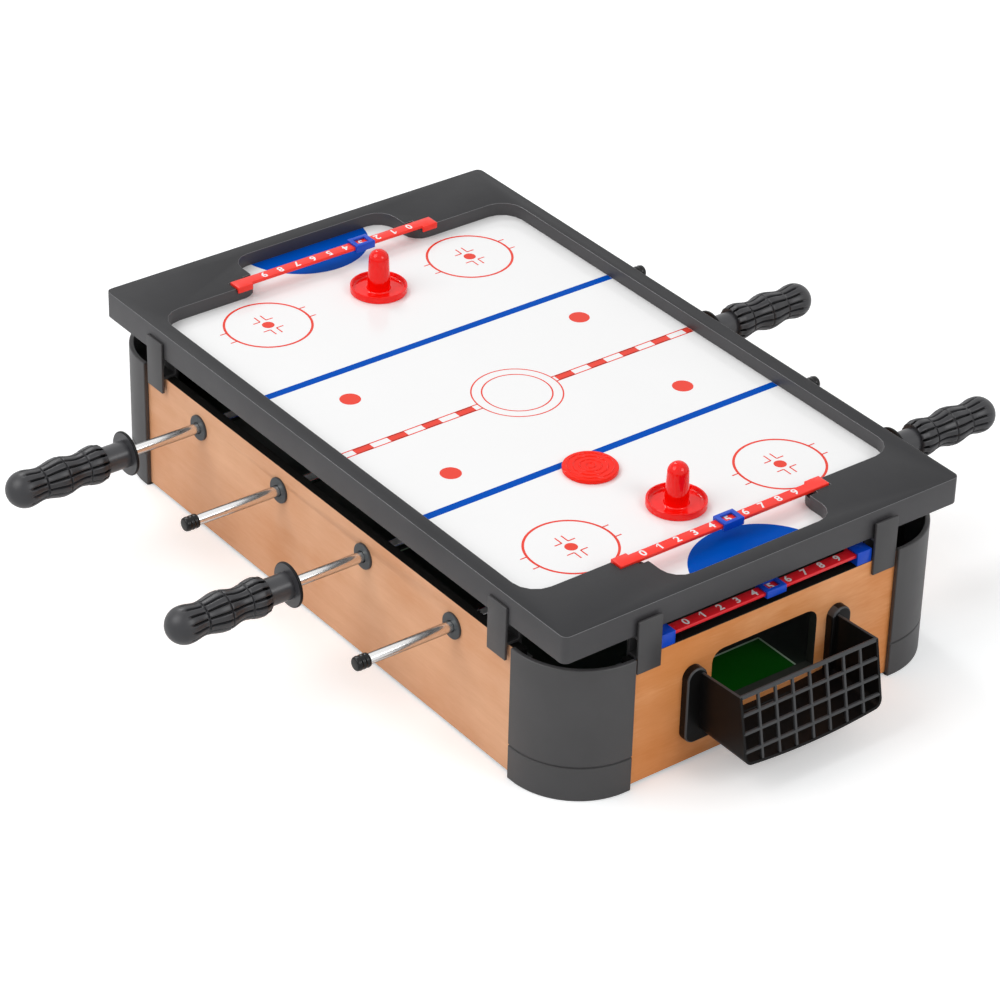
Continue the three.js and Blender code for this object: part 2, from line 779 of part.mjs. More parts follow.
function grip() {
  const neckEnd = discThickness + neckLength;
  const [domeStart, domeRadius] = gripShape[gripShape.length - 1];
  const rings = [
    gripRing(0, discRadius, 0),
    gripRing(discThickness, discRadius, 0),
    gripRing(discThickness, neckRadius, 0),
    gripRing(neckEnd, neckRadius, 0),
    gripRing(gripShape[0][0], gripShape[0][1], 0),
  ];
  // Ribbed waves between the grooves
  const stops = [gripShape[1][0], ...gripStops];
  for (const s of stops) {
    rings.push(gripRing(s, gripRadius(s), ribDepth));
    const next = stops[stops.indexOf(s) + 1] ?? domeStart;
    const groove = grooveShape.find((place) => place > s && place < next);
    if (groove) {
      rings.push(gripRing(groove - ringHalfWidth, gripRadius(groove), ribDepth));
      rings.push(gripRing(groove, gripRadius(groove) - ringGroove, 0));
      rings.push(gripRing(groove + ringHalfWidth, gripRadius(groove), ribDepth));
    }
  }
  rings.push(gripRing(domeStart, domeRadius, 0));
  const domeLength = gripLength - domeStart;
  for (const share of domeShares) {
    const angle = (share * Math.PI) / 2;
    rings.push(gripRing(domeStart + domeLength * Math.sin(angle), domeRadius * Math.cos(angle), 0));
  }
  const socket = turnedAboutY([
    [0, -gripSocketEnd],
    [rodRadius + slip, -gripSocketEnd],
    [rodRadius + slip, overrun - discReach],
    [0, overrun - discReach],
  ]);
  return cut(lofted(rings), socket);
}

// A player is a stack of rings from the foot to the head
function player() {
  return lofted(playerShape.map(([height, halfWidth, halfDepth]) => (
    Array.from({ length: playerSides }, (_, j) => {
      const angle = (2 * Math.PI * (j + 0.5)) / playerSides;
      return new THREE.Vector3(halfDepth * Math.cos(angle), halfWidth * Math.sin(angle), height);
    })
  )));
}

// The three players of a rod are moulded on one sleeve, whose end collars stop the slide
function rodPlayers() {
  const sleeve = turnedAboutY([
    [0, -stopFace],
    [collarRadius, -stopFace],
    [collarRadius, collarLength - stopFace],
    [sleeveRadius, collarLength - stopFace],
    [sleeveRadius, stopFace - collarLength],
    [collarRadius, stopFace - collarLength],
    [collarRadius, stopFace],
    [0, stopFace],
  ], playerSides);
  const bore = turnedAboutY([
    [0, -stopFace - overrun],
    [rodRadius + slip, -stopFace - overrun],
    [rodRadius + slip, stopFace + overrun],
    [0, stopFace + overrun],
  ]);
  const places = Array.from({ length: playersPerRod }, (_, k) => (k - (playersPerRod - 1) / 2) * playerPitch);
  return cut(join(sleeve, ...places.map((y) => moved(player(), 0, y, 0))), bore);
}

rodPlaces().forEach((x, k) => {
  const turned = (body) => (k % 2 ? halfTurned(body) : body);
  const place = (body) => moved(turned(body), x, 0, rodHeight);
  const slid = (body) => moved(turned(body), x, rodRest, rodHeight);
  const team = playerFinishes[k % 2];
  add(`rod_bushing_${2 * k + 1}`, place(bushing()), 'blackPlastic');
  add(`rod_bushing_${2 * k + 2}`, place(halfTurned(bushing())), 'blackPlastic');
  add(`rod_${k + 1}`, slid(rod()), 'steel');
  add(`rod_grip_${k + 1}`, slid(grip()), 'blackPlastic');
  add(`rod_cap_${k + 1}`, slid(rodCap()), 'rubber');
  add(`rod_players_${k + 1}`, slid(rodPlayers()), team);
});

// Tray: a frame with a field opening, a goal recess at each end and seats for the scorers
function fieldOpening() {
  const x = fieldLength / 2;
  const y = fieldWidth / 2;
  const goal = recessWidth / 2;
  const half = new THREE.Path();
  half.moveTo(x - fieldCorner, -y);
  half.absarc(x - fieldCorner, -y + fieldCorner, fieldCorner, -Math.PI / 2, 0);
  half.absarc(x + recessMouth, -goal - recessMouth, recessMouth, Math.PI, Math.PI / 2, true);
  half.absarc(recessReach - recessCorner, -goal + recessCorner, recessCorner, -Math.PI / 2, 0);
  half.absarc(recessReach - recessCorner, goal - recessCorner, recessCorner, 0, Math.PI / 2);
  half.absarc(x + recessMouth, goal + recessMouth, recessMouth, -Math.PI / 2, -Math.PI, true);
  half.absarc(x - fieldCorner, y - fieldCorner, fieldCorner, 0, Math.PI / 2);
  const points = half.getPoints(smallArcSteps);
  return new THREE.Shape([...points, ...points.map((p) => p.clone().negate())]);
}

function scorerRoom() {
  const wall = fieldLength / 2;
  const top = trayTop + overrun;
  const seatHalf = barLength / 2 + barSeatMargin;
  const slideHalf = barLength / 2 - barEndBlock - glide;
  const slideFloor = barTopOnTray - barThickness - glide - sliderFloor - seat;
  const barSeat = block(wall - overrun, barNear + barWidth + barFromWall, -seatHalf, seatHalf,
    barTopOnTray - barThickness, top);
  const slideRoom = block(wall - overrun, barNear + barWidth + glide + sliderWall + sliderRoom, -slideHalf,
    slideHalf, slideFloor, top);
  return join(barSeat, slideRoom);
}

function trayFrame() {
  const body = plate(roundedRectangle(trayLength, trayWidth, trayCorner), trayBottom, trayTop, smallArcSteps);
  const field = plate(fieldOpening(), trayBottom, trayTop + overrun);
  const underside = block(
    traySkirt - trayLength / 2,
    trayLength / 2 - traySkirt,
    traySkirt - trayWidth / 2,
    trayWidth / 2 - traySkirt,
    trayBottom - overrun,
    boardLevel,
  );
  return cut(body, field, underside, scorerRoom(), halfTurned(scorerRoom()));
}

add('tray_frame', trayFrame(), 'framePlastic');
const boardHalfLength = trayLength / 2 - traySkirt - seat;
const boardHalfWidth = trayWidth / 2 - traySkirt - seat;
add('play_board', block(-boardHalfLength, boardHalfLength, -boardHalfWidth, boardHalfWidth, boardBottom,
  boardLevel), 'boardWhite');

const trayBar = moved(scorerBar(), barNear, 0, barTopOnTray);
addPair(['tray_scorer_bar_1', 'tray_scorer_bar_2'], trayBar, 'barRed');
shownOnTray.forEach((digit, k) => {
  const slider = moved(scorerSlider(), barNear, numberPlace(digit, digitShift), barTopOnTray);
  add(`tray_scorer_slider_${k + 1}`, k ? halfTurned(slider) : slider, 'sliderBlue');
});

// Striker: a dished base with a rim, and a post that widens toward its foot
function striker() {
  const profile = [
    [0, 0],
    [strikerRadius - strikerBevel, 0],
    [strikerRadius, strikerBevel],
    [strikerRadius, strikerRim - strikerBevel],
    [strikerRadius - strikerBevel, strikerRim],
    [strikerRadius - strikerRimWall, strikerRim],
    [strikerRadius - strikerRimWall - strikerBevel, strikerDish],
    [strikerFoot, strikerDish],
    [strikerPost, strikerHeight - strikerPost],
  ];
  for (const share of domeShares) {
    const angle = (share * Math.PI) / 2;
    profile.push([strikerPost * Math.cos(angle), strikerHeight - strikerPost * (1 - Math.sin(angle))]);
  }
  profile.push([0, strikerHeight]);
  return turnedAboutZ(profile, discSides);
}

// Sets a piece down on the board
function onBoard(body, [side, fromEnd, y]) {
  return moved(body, side * (fieldLength / 2 - fromEnd), y, boardLevel);
}

strikerPlaces.forEach((place, k) => {
  add(`striker_${k + 1}`, onBoard(striker(), place), 'gameRed');
});

// Puck, with raised rings on its face
function puck() {
  const face = puckHeight - puckRingHeight;
  const profile = [[0, 0], [puckRadius - puckBevel, 0], [puckRadius, puckBevel], [puckRadius, face]];
  for (const radius of puckRings) {
    const half = puckRingWidth / 2;
    profile.push([radius + half, face]);
    profile.push([radius, puckHeight]);
    profile.push([radius - half, face]);
  }
  profile.push([0, face]);
  return turnedAboutZ(profile, discSides);
}

add('puck', onBoard(puck(), puckPlace), 'gameRed');

export default game;
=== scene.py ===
"""Looks for a tabletop hockey game: a lift-off tray on brackets over a football case with four rods.

Lengths are in metres once multiplied by mm. +X runs from goal to goal, +Y along the rods, +Z up.
"""

import math

import bmesh
import bpy
from mathutils import Matrix, Vector


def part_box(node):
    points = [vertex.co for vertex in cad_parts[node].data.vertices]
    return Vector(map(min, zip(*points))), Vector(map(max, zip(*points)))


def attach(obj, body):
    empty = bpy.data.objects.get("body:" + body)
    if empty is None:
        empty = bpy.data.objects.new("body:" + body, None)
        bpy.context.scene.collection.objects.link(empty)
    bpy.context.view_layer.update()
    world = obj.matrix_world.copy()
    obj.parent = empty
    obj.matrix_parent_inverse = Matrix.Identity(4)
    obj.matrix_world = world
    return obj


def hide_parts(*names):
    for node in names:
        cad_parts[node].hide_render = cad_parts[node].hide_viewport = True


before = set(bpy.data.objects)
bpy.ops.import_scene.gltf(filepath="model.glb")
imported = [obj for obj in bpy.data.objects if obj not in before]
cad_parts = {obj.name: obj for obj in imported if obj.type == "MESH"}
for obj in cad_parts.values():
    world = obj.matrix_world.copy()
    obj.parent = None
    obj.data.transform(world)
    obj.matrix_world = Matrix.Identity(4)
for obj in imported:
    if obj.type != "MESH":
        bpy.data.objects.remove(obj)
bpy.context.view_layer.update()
mm = 0.001

# The rods stand slid out of the case, so the case's middle lies this far along Y from the origin
case_y = 3.8 * mm

# The photograph's camera, fitted to the game's corners. Its angles are in radians.
camera_place = (1648.106 * mm, -1283.758 * mm, 1365.584 * mm)
camera_azimuth = 0.912012845
camera_elevation = 0.566206260
camera_roll = 0.027171149
camera_lens = 135.9231
sensor_width = 36.0
clip_start = 0.05
clip_end = 50.0

# Rods and what is on them
rod_pitch = 93.3 * mm
rod_count = 4
rod_height = 75.6 * mm
rod_radius = 3.5 * mm
rod_chamfer = 0.4 * mm
cap_reach = 212.8 * mm
cap_length = 9.5 * mm
cap_radius = 4.8 * mm
cap_floor = 1.5 * mm
cap_ridges = 3
cap_ridge_steps = 8
cap_ridge_depth = 0.25 * mm
cap_round = 1.3 * mm
slip = 0.05 * mm
board_gap = 0.3 * mm
disc_reach = 205.2 * mm
disc_radius = 15 * mm
disc_thickness = 2 * mm
disc_round = 0.7 * mm
neck_radius = 9 * mm
grip_length = 89.5 * mm
grip_socket = 64 * mm
grip_ribs = 14
rib_depth = 1.7 * mm
rib_crown_depth = 2.6 * mm
rib_points = 12
slot_share = 0.38
# How deep a face must lie in a slot, as a share of the rib depth, to take the darker copy that paints shade
# there
slot_shade_share = 0.6
rib_fade = 6 * mm
crown_run = 6 * mm
crown_round = 0.8 * mm
grip_steps = 110
dome_steps = 12
groove_depth = 1.1 * mm
groove_half_width = 0.75 * mm
groove_bare_share = 0.6  # how far past a groove the ribs stay away, as a share of its half width
# Places from the disc, and the grip's radius there
grip_shape = [
    (20.2 * mm, 11.8 * mm), (25.2 * mm, 12.9 * mm), (38.6 * mm, 10.8 * mm),
    (51 * mm, 13.1 * mm), (66 * mm, 10.8 * mm), (76.8 * mm, 12.3 * mm),
]
groove_places = [33 * mm, 49 * mm, 64.6 * mm]
bushing_barrel = 5.9 * mm
bushing_flange = 8.8 * mm
bushing_inner_end = 145.6 * mm
bushing_outer_end = 155.3 * mm
panel_face = 153.6 * mm
bushing_round = 0.6 * mm
stop_face = 99.3 * mm
collar_radius = 6.6 * mm
collar_length = 12 * mm
sleeve_radius = 5.2 * mm
player_pitch = 74 * mm
players_per_rod = 3
player_points = 24
player_steps = 4
player_squareness = 0.8
sleeve_segments = 32
boot_top = -27 * mm
hair_start = 16 * mm
# Rings of a player: height from the rod, half width along it and half depth, from sole to crown
player_shape = [
    (-38.4 * mm, 6 * mm, 7.5 * mm), (-31 * mm, 6.5 * mm, 8 * mm), (-28 * mm, 5 * mm, 3.8 * mm),
    (-8 * mm, 8.5 * mm, 6 * mm), (9 * mm, 9.6 * mm, 6.6 * mm), (12 * mm, 3.4 * mm, 3.2 * mm),
    (16.5 * mm, 6 * mm, 6 * mm), (21.5 * mm, 3 * mm, 3 * mm),
]

# Softened edges of the pieces that keep their CAD shape
panel_round = 0.25 * mm
scorer_round = 0.35 * mm
tray_bar_round = 0.4 * mm
bracket_round = 0.4 * mm
tray_round = 1.1 * mm
tray_round_segments = 3
board_round = 0.2 * mm
weld_distance = 0.002 * mm
flat_angle = math.radians(1)
aligned_share = 0.9  # how far a normal points along an axis to count as a face across it
# The same for the tray's rim: its level and upright faces, and the least slope of its rounded edges, which
# pick the plain top, the sides painted lighter as painted light and the edges painted lighter still as a
# painted highlight
level_share = 0.98
sloped_share = 0.05

# Corner posts, drawn for the +X +Y corner
post_radius = 49.3 * mm
post_centre = (205.7 * mm, 107.7 * mm)
post_lead = 4.1 * mm
post_skin = 3.4 * mm
post_top = 95.3 * mm
post_round = 0.9 * mm
post_steps = 40
post_cheek = 2 * mm
post_cheek_place = (244.7 * mm, 146.7 * mm)
post_web_top = 88 * mm
post_floor = 1.5 * mm
seam_height = 24.9 * mm
seam_half_width = 0.45 * mm
seam_depth = 0.9 * mm
goal_half = 43.5 * mm

# Goal baskets, drawn for the +X end
end_panel_face = 251.6 * mm
basket_half = 54.75 * mm
basket_wall = 1.8 * mm
basket_rim = 70.5 * mm
basket_rim_at_panel = 68 * mm
basket_bottom = 24.5 * mm
basket_sag = 2.5 * mm
basket_corner = 6 * mm
basket_reach_top = 41.4 * mm
basket_reach_bottom = 50.4 * mm
corner_steps = 8
floor_steps = 24
flange_half = 64.75 * mm
flange_top = 72 * mm
flange_bottom = 18 * mm
flange_thickness = 6 * mm
flange_lobe = 15.1 * mm
flange_foot_corner = 7.5 * mm
flange_round = 1.3 * mm
flange_steps = 14
lattice_columns = 8
lattice_rows = 4
lattice_bar = 1.9 * mm
lattice_rim_bar = 2.4 * mm
lattice_row_pitch = 12 * mm
lattice_round = 0.45 * mm
lattice_step = 0.12 * mm  # how far the columns lie behind the rows
bar_steps = 2

# Board and rink marks
board_top = 118.65 * mm
print_lift = 0.03 * mm
field_half_width = 144.4 * mm
faceoff_place = (163.6 * mm, 83 * mm)
faceoff_radius = 29.3 * mm
faceoff_line = 1.7 * mm
faceoff_dot = 4.2 * mm
corner_mark_place = (6.2 * mm, 2.4 * mm)
corner_mark_arms = (7 * mm, 5.4 * mm)
fine_line = 1.0 * mm
tick_place = 6.4 * mm
tick_length = 4.5 * mm
zone_line_place = 86.6 * mm
zone_line_width = 6.1 * mm
middle_dot_place = (54.5 * mm, 93.2 * mm)
middle_dot_radius = 7 * mm
centre_rings = [29.9 * mm, 23 * mm]
centre_line_half = 3 * mm
centre_block = 13.35 * mm
centre_block_start = -128.1 * mm
crease_place = 248 * mm
crease_radius = 47.5 * mm
crease_limit = 246 * mm
curve_points = 96

# Scorers
bar_near = 202.4 * mm
bar_width = 8 * mm
bar_top = 129.2 * mm
case_bar_near = 242.2 * mm
case_bar_top = 101 * mm
digit_pitch = 13.3 * mm
digit_shift = -2.2 * mm
digit_count = 10
digit_size = 8.2 * mm
digit_curve_points = 4
# Shares of the digits' size
digit_bold_share = 0.026
flag_shares = (0.2, 0.24, 0.13)

# Strikers and puck
striker_radius = 19.4 * mm
striker_rim = 5 * mm
striker_rim_wall = 1.6 * mm
striker_dish = 1.6 * mm
striker_foot = 7.8 * mm
striker_post = 6.9 * mm
striker_height = 31 * mm
striker_round = 0.7 * mm
striker_fillet = 1.2 * mm
striker_dome_angle = 85  # degrees, so that the dome ends in a tiny flat
striker_dome_steps = 16
striker_places = [(-160.3 * mm, 4.3 * mm), (163.3 * mm, -0.7 * mm)]
puck_radius = 18 * mm
puck_height = 3.5 * mm
puck_round = 0.7 * mm
puck_place = (100.8 * mm, -19.1 * mm)
puck_rings = [15 * mm, 11 * mm, 7 * mm, 3 * mm]
puck_ring_height = 0.55 * mm
puck_ring_width = 1.1 * mm
puck_ring_steps = 6

# Pitch in the case
pitch_bottom = 27.8 * mm
pitch_top = 31 * mm
pitch_line = 1.4 * mm
pitch_half_length = 244 * mm
pitch_half_width = 146 * mm
pitch_ring = 35 * mm
goal_area_half = 34 * mm
goal_area_reach = 208.5 * mm

# Light: each lamp's place, the width of its disc and its power
lamps = [
    ("key", (-0.6, -2.2, 2.4), 2.4, 43),
    ("left", (-2.2, 0.35, 2.4), 0.8, 17),
    ("fill", (2.2, 0.6, 1.8), 1.2, 17),
]
lamp_target = (0, 0, 0.08)
floor_colour = (0.93, 0.94, 0.945, 1.0)
floor_roughness = 0.9
floor_lift = 0.3
far_floor_lift = 0.62
floor_lift_start = 0.9
floor_lift_end = 2.6
floor_half = 9.0
world_light = 0.52

# Fineness of round pieces
round_segments = 64
fine_segments = 96
edge_steps = 5
sharp_angle = math.radians(35)

# Scales of the materials' textures, and shares that they are mixed by
tone_scale = 26.0
tone_detail = 4.0
tone_ends = (0.3, 0.7)
gloss_scale = 90.0
grain_scale = 1500.0
plain_detail = 3.0
fine_detail = 2.0
bump_distance = 0.1 * mm
gloss_drift_share = 0.1
streak_scales = (60.0, 5.0)
fleck_scales = (700.0, 90.0)
patch_scale = 14.0
patch_share = 0.6
fleck_share = 0.13
film_stops = (0.35, 0.5, 0.64)
film_roughness = (0.42, 0.55)
film_specular = 0.35
film_bump = 0.05
drawing_scales = (900.0, 12.0)
drawing_drift_share = 0.15
steel_mottle = 0.02
steel_grazing_tint = (0.0, 0.0, 0.0, 1.0)


def srgb(red, green, blue):
    """A colour given in the 0 to 255 values of a photograph, as linear light."""
    def linear(value):
        share = value / 255
        return share / 12.92 if share <= 0.04045 else ((share + 0.055) / 1.055) ** 2.4
    return (linear(red), linear(green), linear(blue), 1.0)


# Materials
def node_material(name):
    material = bpy.data.materials.new(name)
    material.use_nodes = True
    nodes = material.node_tree.nodes
    shader = nodes["Principled BSDF"]
    place = nodes.new("ShaderNodeTexCoord")
    return material, nodes, material.node_tree.links, shader, place.outputs["Object"]


def noise(nodes, links, vector, scale, detail=plain_detail):
    texture = nodes.new("ShaderNodeTexNoise")
    texture.inputs["Scale"].default_value = scale
    texture.inputs["Detail"].default_value = detail
    links.new(vector, texture.inputs["Vector"])
    return texture.outputs["Fac"]


def ramp(nodes, links, factor, stops):
    colours = nodes.new("ShaderNodeValToRGB")
    elements = colours.color_ramp.elements
    while len(elements) < len(stops):
        elements.new(0.5)
    for element, (position, colour) in zip(elements, stops):
        element.position = position
        element.color = colour
    links.new(factor, colours.inputs["Fac"])
    return colours.outputs["Color"]


def spread(nodes, links, factor, low, high):
    remap = nodes.new("ShaderNodeMapRange")
    remap.inputs["To Min"].default_value = low
    remap.inputs["To Max"].default_value = high
    links.new(factor, remap.inputs["Value"])
    return remap.outputs["Result"]


def bump(nodes, links, height, strength):
    node = nodes.new("ShaderNodeBump")
    node.inputs["Strength"].default_value = strength
    node.inputs["Distance"].default_value = bump_distance
    links.new(height, node.inputs["Height"])
    return node.outputs["Normal"]


def shaded(colour, share):
    return (colour[0] * share, colour[1] * share, colour[2] * share, 1.0)


def drifting(nodes, links, texture, value, share):
    """A value that a texture moves up and down by a share of it."""
    return spread(nodes, links, texture, value * (1 - share), value * (1 + share))


def moulded(name, colour, roughness, specular=0.5, grain=0.15, mottle=0.07):
    """Moulded plastic: a fine grain, a slow drift of tone and of gloss."""
    material, nodes, links, shader, place = node_material(name)
    tone = noise(nodes, links, place, tone_scale, tone_detail)
    stops = list(zip(tone_ends, (shaded(colour, 1 - mottle), shaded(colour, 1 + mottle))))
    links.new(ramp(nodes, links, tone, stops), shader.inputs["Base Color"])
    gloss = noise(nodes, links, place, gloss_scale)
    links.new(drifting(nodes, links, gloss, roughness, gloss_drift_share), shader.inputs["Roughness"])
    texture = noise(nodes, links, place, grain_scale, fine_detail)
    links.new(bump(nodes, links, texture, grain), shader.inputs["Normal"])
    shader.inputs["Specular IOR Level"].default_value = specular
    return material


def stretched_noise(nodes, links, place, scales, axis, detail):
    """Noise drawn out along one axis. Its scales are across and along that axis."""
    across, along = scales
    stretch = nodes.new("ShaderNodeMapping")
    scale = [across, across, across]
    scale[axis] = along
    stretch.inputs["Scale"].default_value = scale
    links.new(place, stretch.inputs["Vector"])
    return noise(nodes, links, stretch.outputs["Vector"], 1.0, detail)


def mixed(nodes, links, share, first, second):
    blend = nodes.new("ShaderNodeMix")
    blend.inputs["Factor"].default_value = share
    links.new(first, blend.inputs["A"])
    links.new(second, blend.inputs["B"])
    return blend.outputs["Result"]


def wood_film(name, pale, mid, deep, grain_axis):
    """Printed wood film: soft streaks and short flecks along one axis, and patches of a deeper tone."""
    material, nodes, links, shader, place = node_material(name)
    streaks = stretched_noise(nodes, links, place, streak_scales, grain_axis, plain_detail)
    flecks = stretched_noise(nodes, links, place, fleck_scales, grain_axis, fine_detail)
    patches = noise(nodes, links, place, patch_scale)
    figure = mixed(nodes, links, patch_share, streaks, patches)
    figure = mixed(nodes, links, fleck_share, figure, flecks)
    tone = ramp(nodes, links, figure, list(zip(film_stops, (deep, mid, pale))))
    links.new(tone, shader.inputs["Base Color"])
    links.new(spread(nodes, links, streaks, *film_roughness), shader.inputs["Roughness"])
    links.new(bump(nodes, links, streaks, film_bump), shader.inputs["Normal"])
    shader.inputs["Specular IOR Level"].default_value = film_specular
    return material


def plated(name, colour, roughness, metallic):
    """Bright plated steel: a slight drift of tone, faint drawing marks, darker at grazing angles."""
    material, nodes, links, shader, place = node_material(name)
    tone = noise(nodes, links, place, tone_scale, tone_detail)
    stops = list(zip(tone_ends, (shaded(colour, 1 - steel_mottle), shaded(colour, 1 + steel_mottle))))
    links.new(ramp(nodes, links, tone, stops), shader.inputs["Base Color"])
    shader.inputs["Specular Tint"].default_value = steel_grazing_tint
    marks = stretched_noise(nodes, links, place, drawing_scales, 1, fine_detail)
    links.new(drifting(nodes, links, marks, roughness, drawing_drift_share), shader.inputs["Roughness"])
    shader.inputs["Metallic"].default_value = metallic
    return material


# The tray rim's plastic in three copies: the plain top, the upright sides lighter as painted light, and the
# rounded edges lighter still as a painted highlight
frame_grey = moulded("frame_grey", srgb(43, 43, 45), 0.46, specular=0.2, grain=0.3)
frame_side_painted_light = moulded("frame_side_painted_light", srgb(66, 65, 67), 0.45, specular=0.4, grain=0.3)
frame_edge_painted_highlight = moulded("frame_edge_painted_highlight", srgb(100, 100, 102), 0.3, specular=0.8)
post_grey = moulded("post_grey", srgb(67, 66, 67), 0.42, specular=0.45)
basket_black = moulded("basket_black", srgb(13, 12, 12), 0.36, specular=0.16)
# A lighter copy of the basket's black plastic, painted on its lattice, rim and flange edges as a painted
# highlight
basket_painted_highlight = moulded("basket_painted_highlight", srgb(56, 57, 59), 0.4, specular=0.45)
grip_black = moulded("grip_black", srgb(46, 46, 49), 0.4, specular=0.5)
# Copies of the grip's plastic: darker in its slots and on its disc as painted shade, lighter on its neck as
# a painted sheen beside its real gloss
slot_painted_shade = moulded("slot_painted_shade", srgb(8, 8, 9), 0.5, specular=0.15)
disc_painted_shade = moulded("disc_painted_shade", srgb(17, 17, 18), 0.34, specular=0.16)
neck_painted_sheen = moulded("neck_painted_sheen", srgb(54, 54, 57), 0.3, specular=0.6)
bushing_black = moulded("bushing_black", srgb(52, 58, 62), 0.42)
cap_rubber = moulded("cap_rubber", srgb(15, 15, 16), 0.26, specular=0.3, grain=0.05)
cut_board = moulded("cut_board", srgb(46, 48, 43), 0.6, specular=0.2)
edge_black = moulded("edge_black", srgb(11, 10, 9), 0.7, specular=0.1)
panel_front = wood_film("panel_front", srgb(232, 178, 138), srgb(222, 165, 125), srgb(212, 148, 102), 0)
panel_end = wood_film("panel_end", srgb(240, 171, 117), srgb(225, 146, 84), srgb(216, 134, 68), 1)
steel = plated("steel", (0.86, 0.855, 0.845, 1.0), 0.2, 1.0)
board_white = moulded("board_white", srgb(247, 247, 247), 0.16, specular=0.4, grain=0.02, mottle=0.004)
print_red = moulded("print_red", srgb(238, 70, 54), 0.18, specular=0.14, grain=0.02, mottle=0.03)
print_blue = moulded("print_blue", srgb(0, 80, 184), 0.3, specular=0.02, grain=0.02, mottle=0.03)
bar_red = moulded("bar_red", srgb(250, 48, 34), 0.34, specular=0.35, grain=0.05)
case_bar_red = moulded("case_bar_red", srgb(224, 24, 36), 0.34, specular=0.4, grain=0.05)
digit_white = moulded("digit_white", srgb(240, 240, 240), 0.4, grain=0.02, mottle=0.01)
scorer_blue = moulded("scorer_blue", srgb(10, 72, 196), 0.3, specular=0.3, grain=0.05)
game_red = moulded("game_red", srgb(249, 12, 3), 0.06, specular=0.34, grain=0.01, mottle=0.03)
puck_red = moulded("puck_red", srgb(250, 32, 10), 0.12, specular=0.16, grain=0.02, mottle=0.03)
player_blue = moulded("player_blue", srgb(18, 76, 196), 0.3, specular=0.4, grain=0.03)
# The pitch painted nearly black as painted shade under the tray; only the goal areas show its green
pitch_painted_shade = moulded("pitch_painted_shade", srgb(6, 20, 9), 0.6, specular=0.3, grain=0.08)
pitch_green = moulded("pitch_green", srgb(2, 74, 3), 0.6, specular=0.08, grain=0.08)
pitch_white = moulded("pitch_white", srgb(150, 172, 150), 0.6, grain=0.03)


# Meshes
def piece(name, mesh, body, materials, replaced=()):
    mesh.name = name
    obj = bpy.data.objects.new(name, mesh)
    bpy.context.scene.collection.objects.link(obj)
    for material in materials:
        mesh.materials.append(material)
    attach(obj, body)
    if replaced:
        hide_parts(*replaced)
    return obj


def plain_mesh(bm):
    mesh = bpy.data.meshes.new("mesh")
    bm.to_mesh(mesh)
    bm.free()
    return mesh


def finished_mesh(bm, matrix=None):
    if matrix is not None:
        bmesh.ops.transform(bm, matrix=matrix, verts=bm.verts)
    bmesh.ops.recalc_face_normals(bm, faces=bm.faces)
    mesh = plain_mesh(bm)
    mesh.shade_smooth()
    mesh.set_sharp_from_angle(angle=sharp_angle)
    return mesh


def skin(bm, layers):
    """Four-sided faces between neighbouring layers of vertices, each a ring of the same length."""
    count = len(layers[0])
    for low, high in zip(layers, layers[1:]):
        for j in range(count):
            k = (j + 1) % count
            bm.faces.new((low[j], low[k], high[k], high[j]))


def loft(bm, rings):
    """Skins a list of rings of points and closes both ends."""
    layers = [[bm.verts.new(point) for point in ring] for ring in rings]
    skin(bm, layers)
    bm.faces.new(list(reversed(layers[0])))
    bm.faces.new(layers[-1])


def circle(radius, height, segments=round_segments):
    turns = [2 * math.pi * j / segments for j in range(segments)]
    return [(radius * math.cos(a), radius * math.sin(a), height) for a in turns]


def turned(profile, segments=round_segments):
    """A profile of (radius, height) points turned about Z. Its first and last radius are closed flat."""
    bm = bmesh.new()
    loft(bm, [circle(radius, height, segments) for radius, height in profile])
    return bm


def turned_ring(profile):
    """A closed profile turned about Z, such as a bushing with its bore."""
    bm = bmesh.new()
    layers = [[bm.verts.new(point) for point in circle(radius, height)] for radius, height in profile]
    skin(bm, layers + layers[:1])
    return bm


def boxed(bm, x0, x1, y0, y1, z0, z1):
    """Adds a plain wall to a mesh that has others."""
    loft(bm, [[(x0, y0, z), (x1, y0, z), (x1, y1, z), (x0, y1, z)] for z in (z0, z1)])


def padded(bm, outline, low, high, round_size):
    """A plate across X from an outline of (y, z) points, its edge rounded at the high face."""
    count = len(outline)
    normals = []
    for j in range(count):
        before, after = Vector(outline[j - 1]), Vector(outline[(j + 1) % count])
        along = (after - before).normalized()
        normals.append(Vector((along.y, -along.x)))
    layers = [(low, 0.0)]
    layers += [(high - round_size + h, round_size - r) for r, h in rounded(0, 90, 0, 0, round_size)]
    loft(bm, [[(x, y - inset * n.x, z - inset * n.y) for (y, z), n in zip(outline, normals)]
              for x, inset in layers])


def rounded(start_angle, end_angle, centre_r, centre_h, radius, steps=edge_steps):
    """Points of a rounded profile edge. Its angles are in degrees."""
    points = []
    for k in range(steps + 1):
        angle = math.radians(start_angle + (end_angle - start_angle) * k / steps)
        points.append((centre_r + radius * math.cos(angle), centre_h + radius * math.sin(angle)))
    return points


def softened(name, node, width, body, materials, segments=2):
    """A CAD node's own shape with its edges rounded, standing for that node."""
    bm = bmesh.new()
    bm.from_mesh(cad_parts[node].data)
    bmesh.ops.remove_doubles(bm, verts=bm.verts, dist=weld_distance)
    bmesh.ops.dissolve_limit(bm, angle_limit=flat_angle, verts=bm.verts, edges=bm.edges)
    edges = [e for e in bm.edges if e.is_manifold and e.calc_face_angle() > sharp_angle]
    bmesh.ops.bevel(bm, geom=edges, offset=width, segments=segments, profile=0.5, affect="EDGES",
                    clamp_overlap=True)
    return piece(name, finished_mesh(bm), body, materials, [node])


# Rods are drawn along Z with the grip at the top, then laid along Y
def rod_place(k):
    return (k - (rod_count - 1) / 2) * rod_pitch


